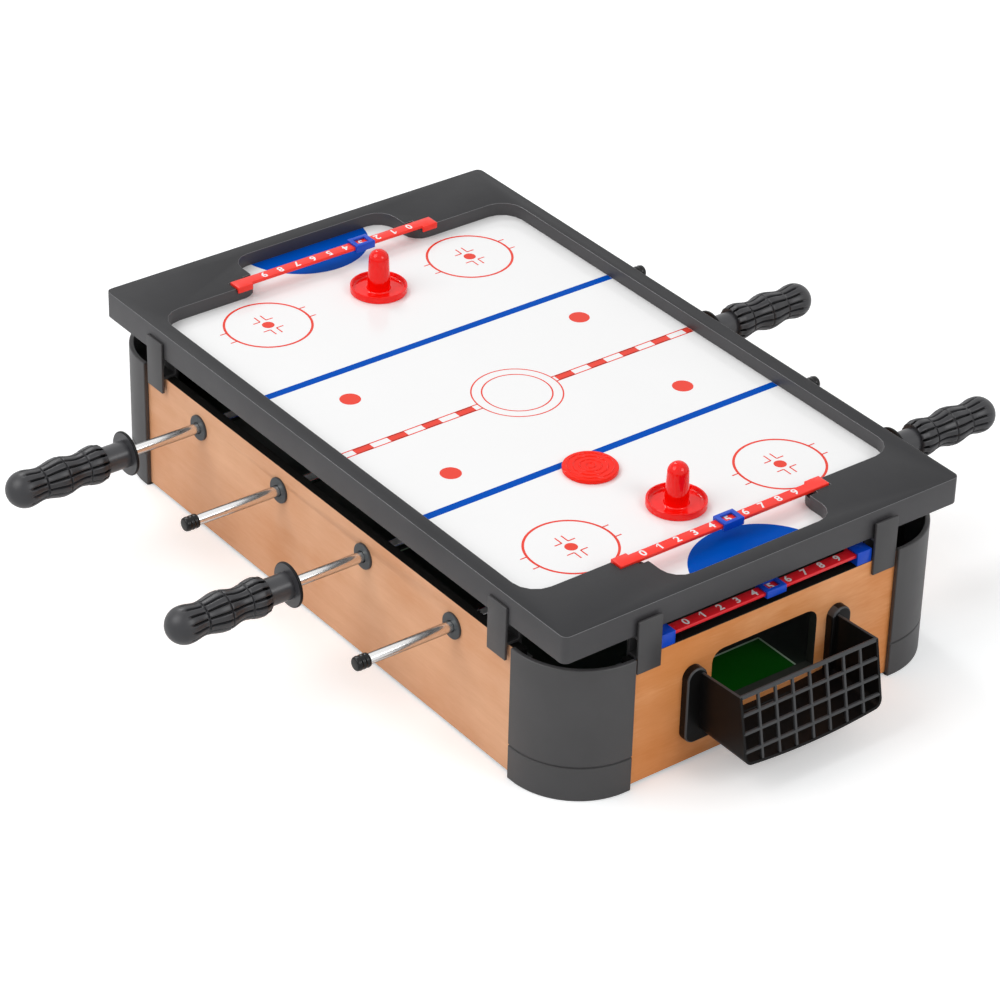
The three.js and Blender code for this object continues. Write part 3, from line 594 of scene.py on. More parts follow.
def rod_matrix(k):
    side = 1 if k % 2 else -1
    along = Matrix.Rotation(-side * math.pi / 2, 4, "X")
    return Matrix.Translation((rod_place(k), 0, rod_height)) @ along


def rod_mesh(matrix):
    end = cap_reach + cap_length - cap_floor - slip
    tip = disc_reach + grip_socket - slip
    profile = [
        (rod_radius - rod_chamfer, -end),
        (rod_radius, -end + rod_chamfer),
        (rod_radius, tip - rod_chamfer),
        (rod_radius - rod_chamfer, tip),
    ]
    return finished_mesh(turned(profile), matrix)


def cap_mesh(matrix):
    """A rubber cap with a few ridges round it, closed at its outer end."""
    bore = rod_radius + slip
    tip = cap_reach + cap_length
    inside = tip - cap_floor
    profile = [(bore, -inside), (bore, -cap_reach), (cap_radius - cap_ridge_depth, -cap_reach)]
    straight = cap_length - cap_round
    steps = cap_ridge_steps * cap_ridges
    for k in range(steps + 1):
        wave = math.cos(2 * math.pi * cap_ridges * k / steps)
        profile.append((cap_radius - cap_ridge_depth * (1 + wave) / 2, -cap_reach - straight * k / steps))
    profile += rounded(0, -90, cap_radius - cap_ridge_depth - cap_round, -tip + cap_round, cap_round)
    return finished_mesh(turned(profile), matrix)


def smooth_share(share):
    return (1 - math.cos(math.pi * share)) / 2


def grip_radius(s):
    """The grip's radius at a distance from its disc: smooth waves between high and low places."""
    for (s0, r0), (s1, r1) in zip(grip_shape, grip_shape[1:]):
        if s <= s1:
            share = max(0.0, (s - s0) / (s1 - s0))
            return r0 + (r1 - r0) * smooth_share(share)
    return grip_shape[-1][1]


def rib_share(s):
    """How strongly the ribs show: full from the crown on, weaker at each groove, fading at the dome."""
    dome = grip_shape[-1][0]
    share = min(1.0, max(0.0, (dome + rib_fade / 2 - s) / rib_fade))
    for place in groove_places:
        share *= min(1.0, max(0.0, abs(s - place) / groove_half_width - groove_bare_share))
    return smooth_share(share)


def slot_depth(s):
    """The slots between the ribs are deepest at the crown."""
    past_crown = min(1.0, max(0.0, (s - grip_shape[0][0]) / crown_run))
    return (rib_crown_depth + (rib_depth - rib_crown_depth) * smooth_share(past_crown)) * rib_share(s)


def groove_dip(s):
    for place in groove_places:
        distance = abs(s - place) / groove_half_width
        if distance < 1:
            return groove_depth * (1 + math.cos(math.pi * distance)) / 2
    return 0.0


def grip_ring(s, radius, depth):
    count = grip_ribs * rib_points
    ring = []
    for j in range(count):
        angle = 2 * math.pi * j / count
        from_slot = abs((j / rib_points + 0.5) % 1 - 0.5) / (slot_share / 2)
        valley = smooth_share(max(0.0, 1 - from_slot ** 2))
        r = radius - depth * valley
        ring.append((r * math.cos(angle), r * math.sin(angle), disc_reach + s))
    return ring


def grip_rings():
    """Rings from the disc's open face along the neck and the ribbed waves to the dome's end."""
    crown, crown_radius = grip_shape[0]
    dome_start, dome_radius = grip_shape[-1]
    rings = []
    disc = rounded(-90, 0, disc_radius - disc_round, disc_round, disc_round)
    disc += rounded(0, 90, disc_radius - disc_round, disc_thickness - disc_round, disc_round)
    for radius, s in [(rod_radius + slip, 0.0)] + disc:
        rings.append(grip_ring(s, radius, 0))
    rings.append(grip_ring(disc_thickness, neck_radius, 0))
    rings.append(grip_ring(crown - crown_round, neck_radius, 0))
    rings.append(grip_ring(crown - crown_round, crown_radius - crown_round, 0))
    rings.append(grip_ring(crown - crown_round / 2, crown_radius - crown_round / 3, slot_depth(crown)))
    for k in range(grip_steps + 1):
        s = crown + (dome_start - crown) * k / grip_steps
        rings.append(grip_ring(s, grip_radius(s) - groove_dip(s), slot_depth(s)))
    dome_length = grip_length - dome_start
    for k in range(1, dome_steps):
        angle = math.pi / 2 * k / dome_steps
        s = dome_start + dome_length * math.sin(angle)
        rings.append(grip_ring(s, dome_radius * math.cos(angle), slot_depth(s)))
    return rings


def grip_mesh(matrix):
    """The grip, with painted shade in its slots and on its disc, and a painted sheen on its glossier neck.
    """
    shaded_slot, shaded_disc, sheened_neck = 1, 2, 3
    crown, dome_start = grip_shape[0][0], grip_shape[-1][0]
    bm = bmesh.new()
    loft(bm, grip_rings())
    for face in bm.faces:
        middle = face.calc_center_median()
        s = middle.z - disc_reach
        if s <= disc_thickness:
            face.material_index = shaded_disc
        elif s < crown - crown_round:
            face.material_index = sheened_neck
        elif crown <= s < dome_start:
            depth = grip_radius(s) - groove_dip(s) - math.hypot(middle.x, middle.y)
            # Faces deep in a slot take the darker copy: painted shade
            face.material_index = shaded_slot if depth > slot_shade_share * rib_depth else 0
    return finished_mesh(bm, matrix)


def bushing_mesh(matrix):
    bore = rod_radius + slip
    edge = bushing_flange - bushing_round
    profile = [(bore, bushing_inner_end), (bushing_barrel, bushing_inner_end), (bushing_barrel, panel_face),
               (bushing_flange, panel_face)]
    profile += rounded(0, 90, edge, bushing_outer_end - bushing_round, bushing_round)
    profile += [(bore + bushing_round, bushing_outer_end), (bore, bushing_outer_end - bushing_round)]
    return finished_mesh(turned_ring(profile), matrix)


def squared(value):
    """A cosine or sine, moved so that a ring is a little squarer than an ellipse."""
    return math.copysign(abs(value) ** player_squareness, value)


def player_rings(y):
    """Rings of one player from sole to crown, with extra rings between so that it reads as moulded."""
    stations = []
    for (h0, w0, d0), (h1, w1, d1) in zip(player_shape, player_shape[1:]):
        for k in range(player_steps):
            share = k / player_steps
            swell = smooth_share(share)
            stations.append((h0 + (h1 - h0) * share, w0 + (w1 - w0) * swell, d0 + (d1 - d0) * swell))
    stations.append(player_shape[-1])
    angles = [2 * math.pi * (j + 0.5) / player_points for j in range(player_points)]
    return [[(depth * squared(math.cos(a)), y + width * squared(math.sin(a)), height) for a in angles]
            for height, width, depth in stations]


def sleeve_rings():
    """Rings of the sleeve along the rod, with a stop collar at each end."""
    inner = stop_face - collar_length
    edge = collar_radius - disc_round
    half = [(sleeve_radius, inner), (edge, inner), (collar_radius, inner + disc_round),
            (collar_radius, stop_face - disc_round), (edge, stop_face)]
    profile = [(radius, -place) for radius, place in reversed(half)] + half
    return [[(x, -place, z) for x, z, place in circle(radius, place, sleeve_segments)]
            for radius, place in profile]


def players_mesh(k):
    """Three players on one sleeve. Their boots and hair have the second finish."""
    bm = bmesh.new()
    for n in range(players_per_rod):
        loft(bm, player_rings((n - (players_per_rod - 1) / 2) * player_pitch))
    for face in bm.faces:
        height = face.calc_center_median().z
        face.material_index = int(height < boot_top or height > hair_start)
    loft(bm, sleeve_rings())
    return finished_mesh(bm, Matrix.Translation((rod_place(k), 0, rod_height)))


in_case = Matrix.Translation((0, case_y, 0))
teams = [(game_red, "game_red"), (player_blue, "scorer_blue")]


def add_rod(k):
    n = k + 1
    matrix = rod_matrix(k)
    other_way = matrix @ Matrix.Rotation(math.pi, 4, "X")
    team, team_slot = teams[k % len(teams)]
    piece(f"rod_{n}_tube", rod_mesh(matrix), f"shaft_{n}", [steel], [f"rod_{n}"])
    piece(f"rod_{n}_cap", cap_mesh(matrix), f"spinner_{n}", [cap_rubber], [f"rod_cap_{n}"])
    piece(f"rod_{n}_grip", grip_mesh(matrix), f"spinner_{n}",
          [grip_black, slot_painted_shade, disc_painted_shade, neck_painted_sheen], [f"rod_grip_{n}"])
    piece(f"rod_{n}_players", players_mesh(k), f"spinner_{n}", [team, edge_black],
          [f"rod_players_{n}"])
    piece(f"bushing_{n}_cap_side", bushing_mesh(in_case @ other_way), "case",
          [bushing_black], [f"rod_bushing_{2 * n - 1}"])
    piece(f"bushing_{n}_grip_side", bushing_mesh(in_case @ matrix), "case",
          [bushing_black], [f"rod_bushing_{2 * n}"])


for k in range(rod_count):
    add_rod(k)


# Case panels: printed film outside, dark board at the edges and inside
def dress_panel(node, film, outward):
    on_film, on_edge, in_opening = 0, 1, 2
    low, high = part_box(node)
    obj = softened(f"{node}_film", node, panel_round, "case", [film, edge_black, cut_board], 1)
    for face in obj.data.polygons:
        within = low[2] < face.center.z < high[2] and abs(face.center.y - case_y) < goal_half
        if face.normal.dot(outward) > aligned_share:
            face.material_index = on_film
        elif within and abs(face.normal.x) < aligned_share:
            face.material_index = in_opening
        else:
            face.material_index = on_edge


dress_panel("front_panel", panel_front, Vector((0, -1, 0)))
dress_panel("rear_panel", panel_front, Vector((0, 1, 0)))
dress_panel("right_end_panel", panel_end, Vector((1, 0, 0)))
dress_panel("left_end_panel", panel_end, Vector((-1, 0, 0)))


# Corner posts: a skin swept round a quarter turn, with the walls behind it
def post_section(inset):
    """Distance from the post's centre and height, round the skin's wall."""
    outer = post_radius - inset
    inner = post_radius - post_skin + inset
    low, high = inset, post_top - inset
    points = rounded(-90, 0, outer - post_round, low + post_round, post_round)
    seam = [(0, -2), (seam_depth, -1), (seam_depth, 1), (0, 2)]
    points += [(outer - depth, seam_height + share * seam_half_width) for depth, share in seam]
    points += rounded(0, 90, outer - post_round, high - post_round, post_round)
    points += rounded(90, 180, inner + post_round, high - post_round, post_round)
    return points + [(inner, low)]


def post_rings():
    """Sections of the skin from one lip round the corner to the other."""
    cx, cy = post_centre
    end_round = post_round / 2
    section, end_section = post_section(0), post_section(end_round)
    lip_x, lip_y = cx - post_lead, cy - post_lead
    rings = [[(lip_x, cy + r, h) for r, h in end_section]]
    rings.append([(lip_x + end_round, cy + r, h) for r, h in section])
    for k in range(post_steps + 1):
        angle = math.pi / 2 * (1 - k / post_steps)
        c, s = math.cos(angle), math.sin(angle)
        rings.append([(cx + r * c, cy + r * s, h) for r, h in section])
    rings.append([(cx + r, lip_y + end_round, h) for r, h in section])
    rings.append([(cx + r, lip_y, h) for r, h in end_section])
    return rings


def post_mesh(flip):
    """A post's skin, the cheeks and webs behind it, its floor and the ledge under the pitch."""
    cx, cy = post_centre
    lip_x, lip_y = cx - post_lead, cy - post_lead
    bm = bmesh.new()
    loft(bm, post_rings())
    back_x, back_y = post_cheek_place
    front_x, front_y = back_x - post_cheek, back_y - post_cheek
    skin_x, skin_y = cx + post_radius - post_skin / 2, cy + post_radius - post_skin / 2
    for low, high in ((post_floor / 2, pitch_bottom), (pitch_top + board_gap, post_web_top)):
        boxed(bm, lip_x, cx + post_cheek, front_y, back_y, low, high)
        boxed(bm, front_x, back_x, lip_y, cy + post_cheek, low, high)
        boxed(bm, cx, cx + post_cheek, back_y, skin_y, low, high)
        boxed(bm, back_x, skin_x, cy, cy + post_cheek, low, high)
    reach = post_radius - post_skin / 2
    arc = [(cx + reach * math.cos(a), cy + reach * math.sin(a))
           for a in (math.pi / 2 * k / post_steps for k in range(post_steps + 1))]
    floor = [(skin_x, lip_y)] + arc + [(lip_x, skin_y), (lip_x, front_y), (front_x, lip_y)]
    loft(bm, [[(x, y, z) for x, y in floor] for z in (0, post_floor)])
    cut_x = math.sqrt(reach ** 2 - (front_x - cx) ** 2)
    ledge = [(cx, front_y), (front_x, cy), (front_x, cy + cut_x), (cx + cut_x, front_y)]
    loft(bm, [[(x, y, z) for x, y in ledge] for z in (pitch_bottom - post_cheek, pitch_bottom)])
    return finished_mesh(bm, in_case @ Matrix.Diagonal((*flip, 1, 1)))


for k, flip in enumerate([(-1, -1), (1, -1), (1, 1), (-1, 1)], 1):
    piece(f"corner_{k}", post_mesh(flip), "case", [post_grey], [f"corner_post_{k}"])


# Goal baskets: a flange with two lobes, a wall bent into a U, and a leaning lattice
def lattice_face(z):
    lean = (basket_reach_bottom - basket_reach_top) / (basket_rim - basket_bottom)
    return end_panel_face + basket_reach_top + lean * (basket_rim - z)


def basket_path(inset):
    """Points across the game, from one side's rim down, along the floor and up to the other rim."""
    corner = basket_corner - inset
    low = basket_bottom + inset
    reach = basket_half - inset - corner
    path = [(x, low + corner + h) for x, h in rounded(180, 270, -reach, 0, corner, corner_steps)]
    for k in range(1, floor_steps):
        share = k / floor_steps
        path.append((reach * (2 * share - 1), low - 4 * share * (1 - share) * basket_sag))
    return path + [(-y, z) for y, z in path[corner_steps::-1]]


def wall_ring(outer, inner):
    """The wall's section along the game, at one place of its path."""
    (y0, z0), (y1, z1) = outer, inner
    near = end_panel_face
    return [(near, y0, z0), (lattice_face(z0), y0, z0), (lattice_face(z1), y1, z1), (near, y1, z1)]


def rim_ring(side, drop, inset):
    y0, y1 = side * (basket_half - inset), side * (basket_half - basket_wall + inset)
    near, far = end_panel_face, lattice_face(basket_rim - drop)
    low, high = basket_rim_at_panel - drop, basket_rim - drop
    return [(near, y0, low), (far, y0, high), (far, y1, high), (near, y1, low)]


def basket_walls(bm):
    outer, inner = basket_path(0), basket_path(basket_wall)
    edge = lattice_round
    rims = [(0, edge), (edge / 3, edge / 3), (edge, 0)]
    rings = [rim_ring(-1, drop, inset) for drop, inset in rims]
    rings += [wall_ring(a, b) for a, b in zip(outer, inner)]
    rings += [rim_ring(1, drop, inset) for drop, inset in reversed(rims)]
    loft(bm, rings)


def basket_flange(bm):
    lobe = flange_lobe / 2
    centre = flange_half - lobe
    foot = flange_foot_corner
    right = rounded(-90, 0, flange_half - foot, flange_bottom + foot, foot, flange_steps)
    right += rounded(0, 180, centre, flange_top - lobe, lobe, 2 * flange_steps)
    right.append((flange_half - flange_lobe, basket_bottom))
    outline = right + [(-y, z) for y, z in reversed(right)]
    padded(bm, outline, end_panel_face, end_panel_face + flange_thickness, flange_round)


def bar_section(half_width):
    """Points round a lattice bar, across and behind its middle."""
    points = []
    for quarter, (across, deep) in enumerate([(1, 1), (-1, 1), (-1, -1), (1, -1)]):
        points += rounded(90 * quarter, 90 * (quarter + 1), across * (half_width - lattice_round),
                          deep * (lattice_bar / 2 - lattice_round), lattice_round, bar_steps)
    return points


def lattice_row(bm, side, z, half_width):
    section = [(lattice_face(z + across) - lattice_bar / 2 + deep, z + across)
               for across, deep in bar_section(half_width)]
    loft(bm, [[(x, y, height) for x, height in section] for y in (-side, side)])


def lattice_column(bm, y, low, high):
    section = bar_section(lattice_bar / 2)
    behind = lattice_bar / 2 + lattice_step
    loft(bm, [[(lattice_face(z) - behind + deep, y + across, z) for across, deep in section]
              for z in (low, high)])


def basket_floor(y):
    """Height of the floor's middle layer below a place across the game."""
    reach = basket_half - basket_corner
    share = min(1.0, max(0.0, (y / reach + 1) / 2))
    return basket_bottom + basket_wall / 2 - 4 * share * (1 - share) * basket_sag


def basket_lattice(bm):
    side = basket_half - basket_wall / 2
    top = basket_rim - lattice_rim_bar / 2
    lattice_row(bm, side, top, lattice_rim_bar / 2)
    for k in range(1, lattice_rows):
        lattice_row(bm, side, top - k * lattice_row_pitch, lattice_bar / 2)
    pitch = (2 * basket_half - lattice_bar) / lattice_columns
    for k in range(1, lattice_columns):
        y = -basket_half + lattice_bar / 2 + k * pitch
        lattice_column(bm, y, basket_floor(y), basket_rim - lattice_bar / 2)


def basket_mesh(turn):
    """A basket whose lattice, rim and flange edges take a lighter copy of its black plastic, a painted
    highlight.
    """
    bm = bmesh.new()
    basket_walls(bm)
    basket_flange(bm)
    flange_face = end_panel_face + flange_thickness
    for face in bm.faces:
        middle = face.calc_center_median()
        at_rim = middle.z > basket_rim_at_panel - 2 * lattice_round and abs(middle.y) < basket_half
        at_edge = flange_face - flange_round < middle.x < flange_face - slip and len(face.verts) == 4
        beside = abs(middle.y) > basket_half or middle.z > basket_rim
        # The rim and the flange's rounded edge take the lighter copy: a painted highlight
        face.material_index = int(at_rim or (at_edge and beside))
    solid_faces = len(bm.faces)
    basket_lattice(bm)
    # The lattice bars take the lighter copy as well: a painted highlight
    for face in list(bm.faces)[solid_faces:]:
        face.material_index = 1
    return finished_mesh(bm, in_case @ Matrix.Rotation(turn, 4, "Z"))


# Pieces at the two ends: baskets, and scorers in the case and in the tray
for k, turn in ((1, 0.0), (2, math.pi)):
    piece(f"basket_{k}", basket_mesh(turn), "case", [basket_black, basket_painted_highlight],
          [f"goal_basket_{k}"])
    softened(f"case_bar_{k}", f"case_scorer_bar_{k}", scorer_round, "case", [case_bar_red])
    softened(f"case_counter_{k}", f"case_scorer_slider_{k}", scorer_round, f"case_slider_{k}",
             [scorer_blue])
    softened(f"tray_bar_{k}", f"tray_scorer_bar_{k}", tray_bar_round, "tray", [bar_red])
    softened(f"tray_counter_{k}", f"tray_scorer_slider_{k}", scorer_round, f"tray_slider_{k}",
             [scorer_blue])
for k in range(1, 5):
    softened(f"case_holder_{k}", f"case_scorer_holder_{k}", scorer_round, "case",
             [scorer_blue])
for k in range(1, 9):
    softened(f"bracket_{k}", f"tray_bracket_{k}", bracket_round, "case", [post_grey])


def dress_tray():
    """The rim's level faces keep the plain grey; its upright faces take a lighter copy as painted light,
    and its rounded edges a lighter one still as a painted highlight.
    """
    on_level, on_painted_lit_upright, on_edge = 0, 1, 2
    rim = softened("tray_rim", "tray_frame", tray_round, "tray",
                   [frame_grey, frame_side_painted_light, frame_edge_painted_highlight], tray_round_segments)
    for face in rim.data.polygons:
        rise = abs(face.normal.z)
        across = max(abs(face.normal.x), abs(face.normal.y))
        if rise > level_share:
            face.material_index = on_level
        # Rounded edges: the painted highlight
        elif rise > sloped_share and across < level_share:
            face.material_index = on_edge
        else:
            face.material_index = on_painted_lit_upright


dress_tray()
# The pitch sheet carries the painted shade
softened("pitch_sheet", "pitch_board", board_round, "case", [pitch_painted_shade], 1)
softened("board_sheet", "play_board", board_round, "tray", [board_white], 1)


# Printed marks, and the green of the goal areas, are thin sheets just above what they lie on
def mark_sheet(name, body, material, shapes, height):
    bm = bmesh.new()
    for points in shapes:
        bm.faces.new([bm.verts.new((x, y + case_y, height)) for x, y in points])
    for face in bm.faces:
        if face.normal.z < 0:
            face.normal_flip()
    piece(name, plain_mesh(bm), body, [material])


def rectangle(x0, x1, y0, y1):
    return [(x0, y0), (x1, y0), (x1, y1), (x0, y1)]


def disc(cx, cy, radius):
    turns = [2 * math.pi * j / curve_points for j in range(curve_points)]
    return [(cx + radius * math.cos(a), cy + radius * math.sin(a)) for a in turns]


def ring(cx, cy, radius, line):
    """A circle line as a row of four-sided pieces."""
    outer = disc(cx, cy, radius + line / 2)
    inner = disc(cx, cy, radius - line / 2)
    return [[inner[j - 1], outer[j - 1], outer[j], inner[j]] for j in range(curve_points)]


def line_along_x(x0, x1, y):
    return rectangle(min(x0, x1), max(x0, x1), y - fine_line / 2, y + fine_line / 2)


def line_along_y(x, y0, y1):
    return rectangle(x - fine_line / 2, x + fine_line / 2, min(y0, y1), max(y0, y1))


def faceoff_marks(cx, cy):
    """A face-off circle with its spot, four corner marks round the spot and four ticks outside."""
    shapes = ring(cx, cy, faceoff_radius, faceoff_line)
    shapes.append(disc(cx, cy, faceoff_dot))
    for ux in (-1, 1):
        for uy in (-1, 1):
            px = cx + ux * corner_mark_place[0]
            py = cy + uy * corner_mark_place[1]
            shapes.append(line_along_x(px, px + ux * corner_mark_arms[0], py))
            shapes.append(line_along_y(px, py, py + uy * corner_mark_arms[1]))
            start = cy + uy * faceoff_radius
            shapes.append(line_along_y(cx + ux * tick_place, start, start + uy * tick_length))
    return shapes


def rink_red():
    shapes = []
    for sx in (-1, 1):
        for sy in (-1, 1):
            shapes += faceoff_marks(sx * faceoff_place[0], sy * faceoff_place[1])
            shapes.append(disc(sx * middle_dot_place[0], sy * middle_dot_place[1], middle_dot_radius))
    for radius in centre_rings:
        shapes += ring(0, 0, radius, fine_line)
    edge = field_half_width - slip
    gap = centre_rings[0]
    for sx in (-1, 1):
        for y0, y1 in ((-edge, -gap), (gap, edge)):
            shapes.append(line_along_y(sx * centre_line_half, y0, y1))
    y = centre_block_start
    while y < edge:
        low, high = max(y, -edge), min(y + centre_block, edge)
        if high <= -gap or low >= gap:
            shapes.append(rectangle(-centre_line_half, centre_line_half, low, high))
        y += 2 * centre_block
    return shapes


def rink_blue():
    edge = field_half_width + slip
    shapes = []
    for sx in (-1, 1):
        x = sx * zone_line_place
        shapes.append(rectangle(x - zone_line_width / 2, x + zone_line_width / 2, -edge, edge))
        crease = disc(sx * crease_place, 0, crease_radius)
        shapes.append([(x, y) for x, y in crease if abs(x) < crease_limit])
    return shapes


mark_sheet("rink_red", "tray", print_red, rink_red(), board_top + print_lift)
mark_sheet("rink_blue", "tray", print_blue, rink_blue(), board_top + print_lift / 2)


def pitch_lines():
    shapes = []
    half = pitch_line / 2
    for sx in (-1, 1):
        far = sx * pitch_half_length
        near = sx * goal_area_reach
        for sy in (-1, 1):
            y = sy * goal_area_half
            shapes.append(rectangle(min(far, near), max(far, near), y - half, y + half))
        shapes.append(rectangle(near - half, near + half, -goal_area_half, goal_area_half))
    shapes.append(rectangle(-half, half, -pitch_half_width, pitch_half_width))
    shapes += ring(0, 0, pitch_ring, pitch_line)
    return shapes


def goal_areas():
    far = pitch_half_length
    return [rectangle(-far, -goal_area_reach, -goal_area_half, goal_area_half),
            rectangle(goal_area_reach, far, -goal_area_half, goal_area_half)]


# The goal areas keep the pitch's green; the rest of the pitch is painted nearly black, a painted shade
mark_sheet("goal_areas", "case", pitch_green, goal_areas(), pitch_top + print_lift / 2)
mark_sheet("pitch_lines", "case", pitch_white, pitch_lines(), pitch_top + print_lift)


# Numbers 0 to 9 on the scorer bars
def flagged(mesh):
    """The plain stroke of the number one, given the short flag that slants down from its top."""
    left = min(v.co.x for v in mesh.vertices)
    top = max(v.co.y for v in mesh.vertices)
    reach, fall, width = (share * digit_size for share in flag_shares)
    bm = bmesh.new()
    bm.from_mesh(mesh)
    tip = left - reach
    corners = [(left, top), (tip, top - fall), (tip, top - fall - width), (left, top - width)]
    bm.faces.new([bm.verts.new((x, y, 0)) for x, y in corners])
    bm.to_mesh(mesh)
    bm.free()
    return mesh


def digit_mesh(digit):
    curve = bpy.data.curves.new("digit", "FONT")
    curve.body = str(digit)
    curve.size = digit_size
    curve.offset = digit_bold_share * digit_size
    curve.align_x = "CENTER"
    curve.align_y = "CENTER"
    curve.resolution_u = digit_curve_points
    text = bpy.data.objects.new("digit", curve)
    bpy.context.scene.collection.objects.link(text)
    bpy.context.view_layer.update()
    graph = bpy.context.evaluated_depsgraph_get()
    mesh = bpy.data.meshes.new_from_object(text.evaluated_get(graph))
    bpy.data.objects.remove(text)
    return flagged(mesh) if digit == 1 else mesh


def number_row(name, body, near, top, shift, half_turn):
    """The row of numbers on a bar at the +X end, or on its twin half round the vertical axis."""
    bm = bmesh.new()
    upright = Matrix.Rotation(math.pi / 2, 4, "Z")
    for digit in range(digit_count):
        y = shift + (digit - (digit_count - 1) / 2) * digit_pitch
        mesh = digit_mesh(digit)
        mesh.transform(Matrix.Translation((near + bar_width / 2, y, top + print_lift)) @ upright)
        bm.from_mesh(mesh)
    if half_turn:
        bmesh.ops.rotate(bm, cent=(0, 0, 0), matrix=Matrix.Rotation(math.pi, 3, "Z"), verts=bm.verts)
    bmesh.ops.translate(bm, vec=(0, case_y, 0), verts=bm.verts)
    piece(name, plain_mesh(bm), body, [digit_white])


number_row("tray_numbers_1", "tray", bar_near, bar_top, digit_shift, False)
number_row("tray_numbers_2", "tray", bar_near, bar_top, digit_shift, True)
number_row("case_numbers_1", "case", case_bar_near, case_bar_top, 0.0, False)
number_row("case_numbers_2", "case", case_bar_near, case_bar_top, 0.0, True)


# Strikers and puck
def on_board(x, y):
    return in_case @ Matrix.Translation((x, y, board_top + slip))


def striker_mesh(x, y):
    profile = [(striker_radius - striker_round, 0)]
    profile += rounded(-90, 0, striker_radius - striker_round, striker_round, striker_round)
    profile += rounded(0, 180, striker_radius - striker_rim_wall / 2, striker_rim - striker_rim_wall / 2,
                       striker_rim_wall / 2)
    inner = striker_radius - striker_rim_wall
    profile += rounded(0, -90, inner - striker_fillet, striker_dish + striker_fillet, striker_fillet)[1:]
    profile += rounded(-90, -180, striker_foot + striker_fillet, striker_dish + striker_fillet,
                       striker_fillet)
    profile += rounded(0, striker_dome_angle, 0, striker_height - striker_post, striker_post,
                       striker_dome_steps)
    return finished_mesh(turned(profile, fine_segments), on_board(x, y))


for k, (x, y) in enumerate(striker_places, 1):
    piece(f"striker_{k}_body", striker_mesh(x, y), f"striker_{k}", [game_red], [f"striker_{k}"])


def puck_mesh():
    face = puck_height - puck_ring_height
    profile = [(puck_radius - puck_round, 0)]
    profile += rounded(-90, 0, puck_radius - puck_round, puck_round, puck_round)
    profile += rounded(0, 90, puck_radius - puck_round, face - puck_round, puck_round)
    for radius in puck_rings:
        for k in range(puck_ring_steps + 1):
            share = k / puck_ring_steps
            r = radius + puck_ring_width * (0.5 - share)
            profile.append((r, face + puck_ring_height * math.sin(math.pi * share)))
    return finished_mesh(turned(profile, fine_segments), on_board(*puck_place))


piece("puck_body", puck_mesh(), "puck", [puck_red], ["puck"])


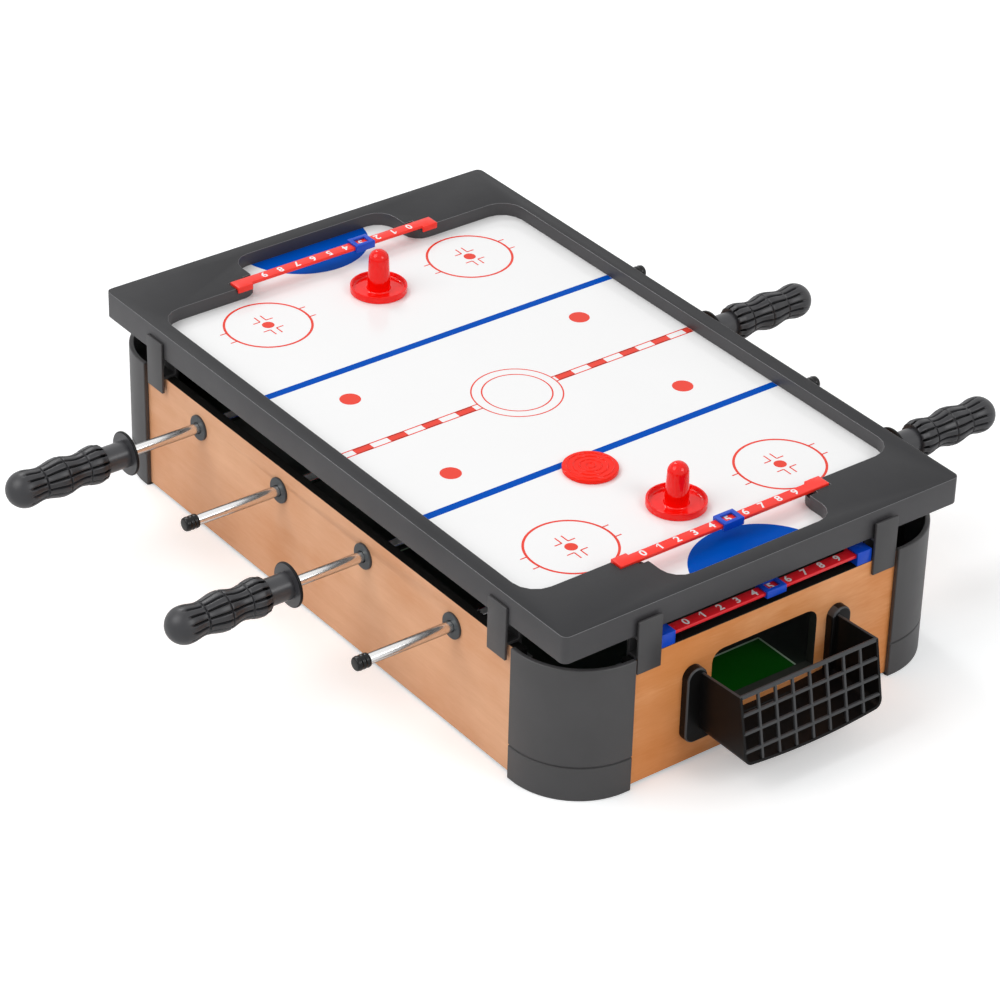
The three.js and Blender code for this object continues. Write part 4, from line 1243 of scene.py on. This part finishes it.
# Floor, light and camera
def add_floor():
    """A pale floor, lifted a little for the camera alone, and more so far from the game."""
    mesh = bpy.data.meshes.new("floor")
    corners = [(x * floor_half, y * floor_half, 0) for x, y in ((-1, -1), (1, -1), (1, 1), (-1, 1))]
    mesh.from_pydata(corners, [], [(0, 1, 2, 3)])
    floor = bpy.data.objects.new("floor", mesh)
    bpy.context.scene.collection.objects.link(floor)
    material, nodes, links, shader, place = node_material("floor_white")
    shader.inputs["Base Color"].default_value = floor_colour
    shader.inputs["Roughness"].default_value = floor_roughness
    shader.inputs["Specular IOR Level"].default_value = 0.0
    path = nodes.new("ShaderNodeLightPath")
    distance = nodes.new("ShaderNodeVectorMath")
    distance.operation = "LENGTH"
    links.new(place, distance.inputs[0])
    lift = nodes.new("ShaderNodeMapRange")
    lift.inputs["From Min"].default_value = floor_lift_start
    lift.inputs["From Max"].default_value = floor_lift_end
    lift.inputs["To Min"].default_value = floor_lift
    lift.inputs["To Max"].default_value = far_floor_lift
    links.new(distance.outputs["Value"], lift.inputs["Value"])
    seen = nodes.new("ShaderNodeMath")
    seen.operation = "MULTIPLY"
    links.new(lift.outputs["Result"], seen.inputs[0])
    links.new(path.outputs["Is Camera Ray"], seen.inputs[1])
    shader.inputs["Emission Color"].default_value = (1, 1, 1, 1)
    links.new(seen.outputs["Value"], shader.inputs["Emission Strength"])
    mesh.materials.append(material)


def add_world():
    """White where the camera or a reflection sees it, and weaker as a light."""
    world = bpy.data.worlds.new("studio")
    bpy.context.scene.world = world
    world.use_nodes = True
    nodes = world.node_tree.nodes
    links = world.node_tree.links
    background = nodes["Background"]
    background.inputs["Color"].default_value = (1, 1, 1, 1)
    path = nodes.new("ShaderNodeLightPath")
    seen = nodes.new("ShaderNodeMath")
    seen.operation = "MAXIMUM"
    links.new(path.outputs["Is Camera Ray"], seen.inputs[0])
    links.new(path.outputs["Is Glossy Ray"], seen.inputs[1])
    links.new(spread(nodes, links, seen.outputs["Value"], world_light, 1.0), background.inputs["Strength"])


def add_lamp(name, place, size, power):
    light = bpy.data.lights.new(name, "AREA")
    light.shape = "DISK"
    light.size = size
    light.energy = power
    lamp = bpy.data.objects.new(name, light)
    bpy.context.scene.collection.objects.link(lamp)
    direction = Vector(lamp_target) - Vector(place)
    lamp.rotation_euler = direction.to_track_quat("-Z", "Y").to_euler()
    lamp.location = place


def add_camera():
    data = bpy.data.cameras.new("camera")
    data.sensor_fit = "HORIZONTAL"
    data.sensor_width = sensor_width
    data.lens = camera_lens
    data.clip_start = clip_start
    data.clip_end = clip_end
    camera = bpy.data.objects.new("camera", data)
    bpy.context.scene.collection.objects.link(camera)
    flat = math.cos(camera_elevation)
    back = Vector((math.sin(camera_azimuth) * flat, -math.cos(camera_azimuth) * flat,
                   math.sin(camera_elevation)))
    right = (-back).cross(Vector((0, 0, 1))).normalized()
    up = right.cross(-back)
    c, s = math.cos(camera_roll), math.sin(camera_roll)
    rolled_right = c * right + s * up
    rolled_up = c * up - s * right
    turn = Matrix((rolled_right, rolled_up, back)).transposed().to_4x4()
    camera.matrix_world = Matrix.Translation(camera_place) @ turn
    bpy.context.scene.camera = camera


add_floor()
add_world()
for lamp in lamps:
    add_lamp(*lamp)
add_camera()
bpy.context.scene.view_settings.view_transform = "Standard"
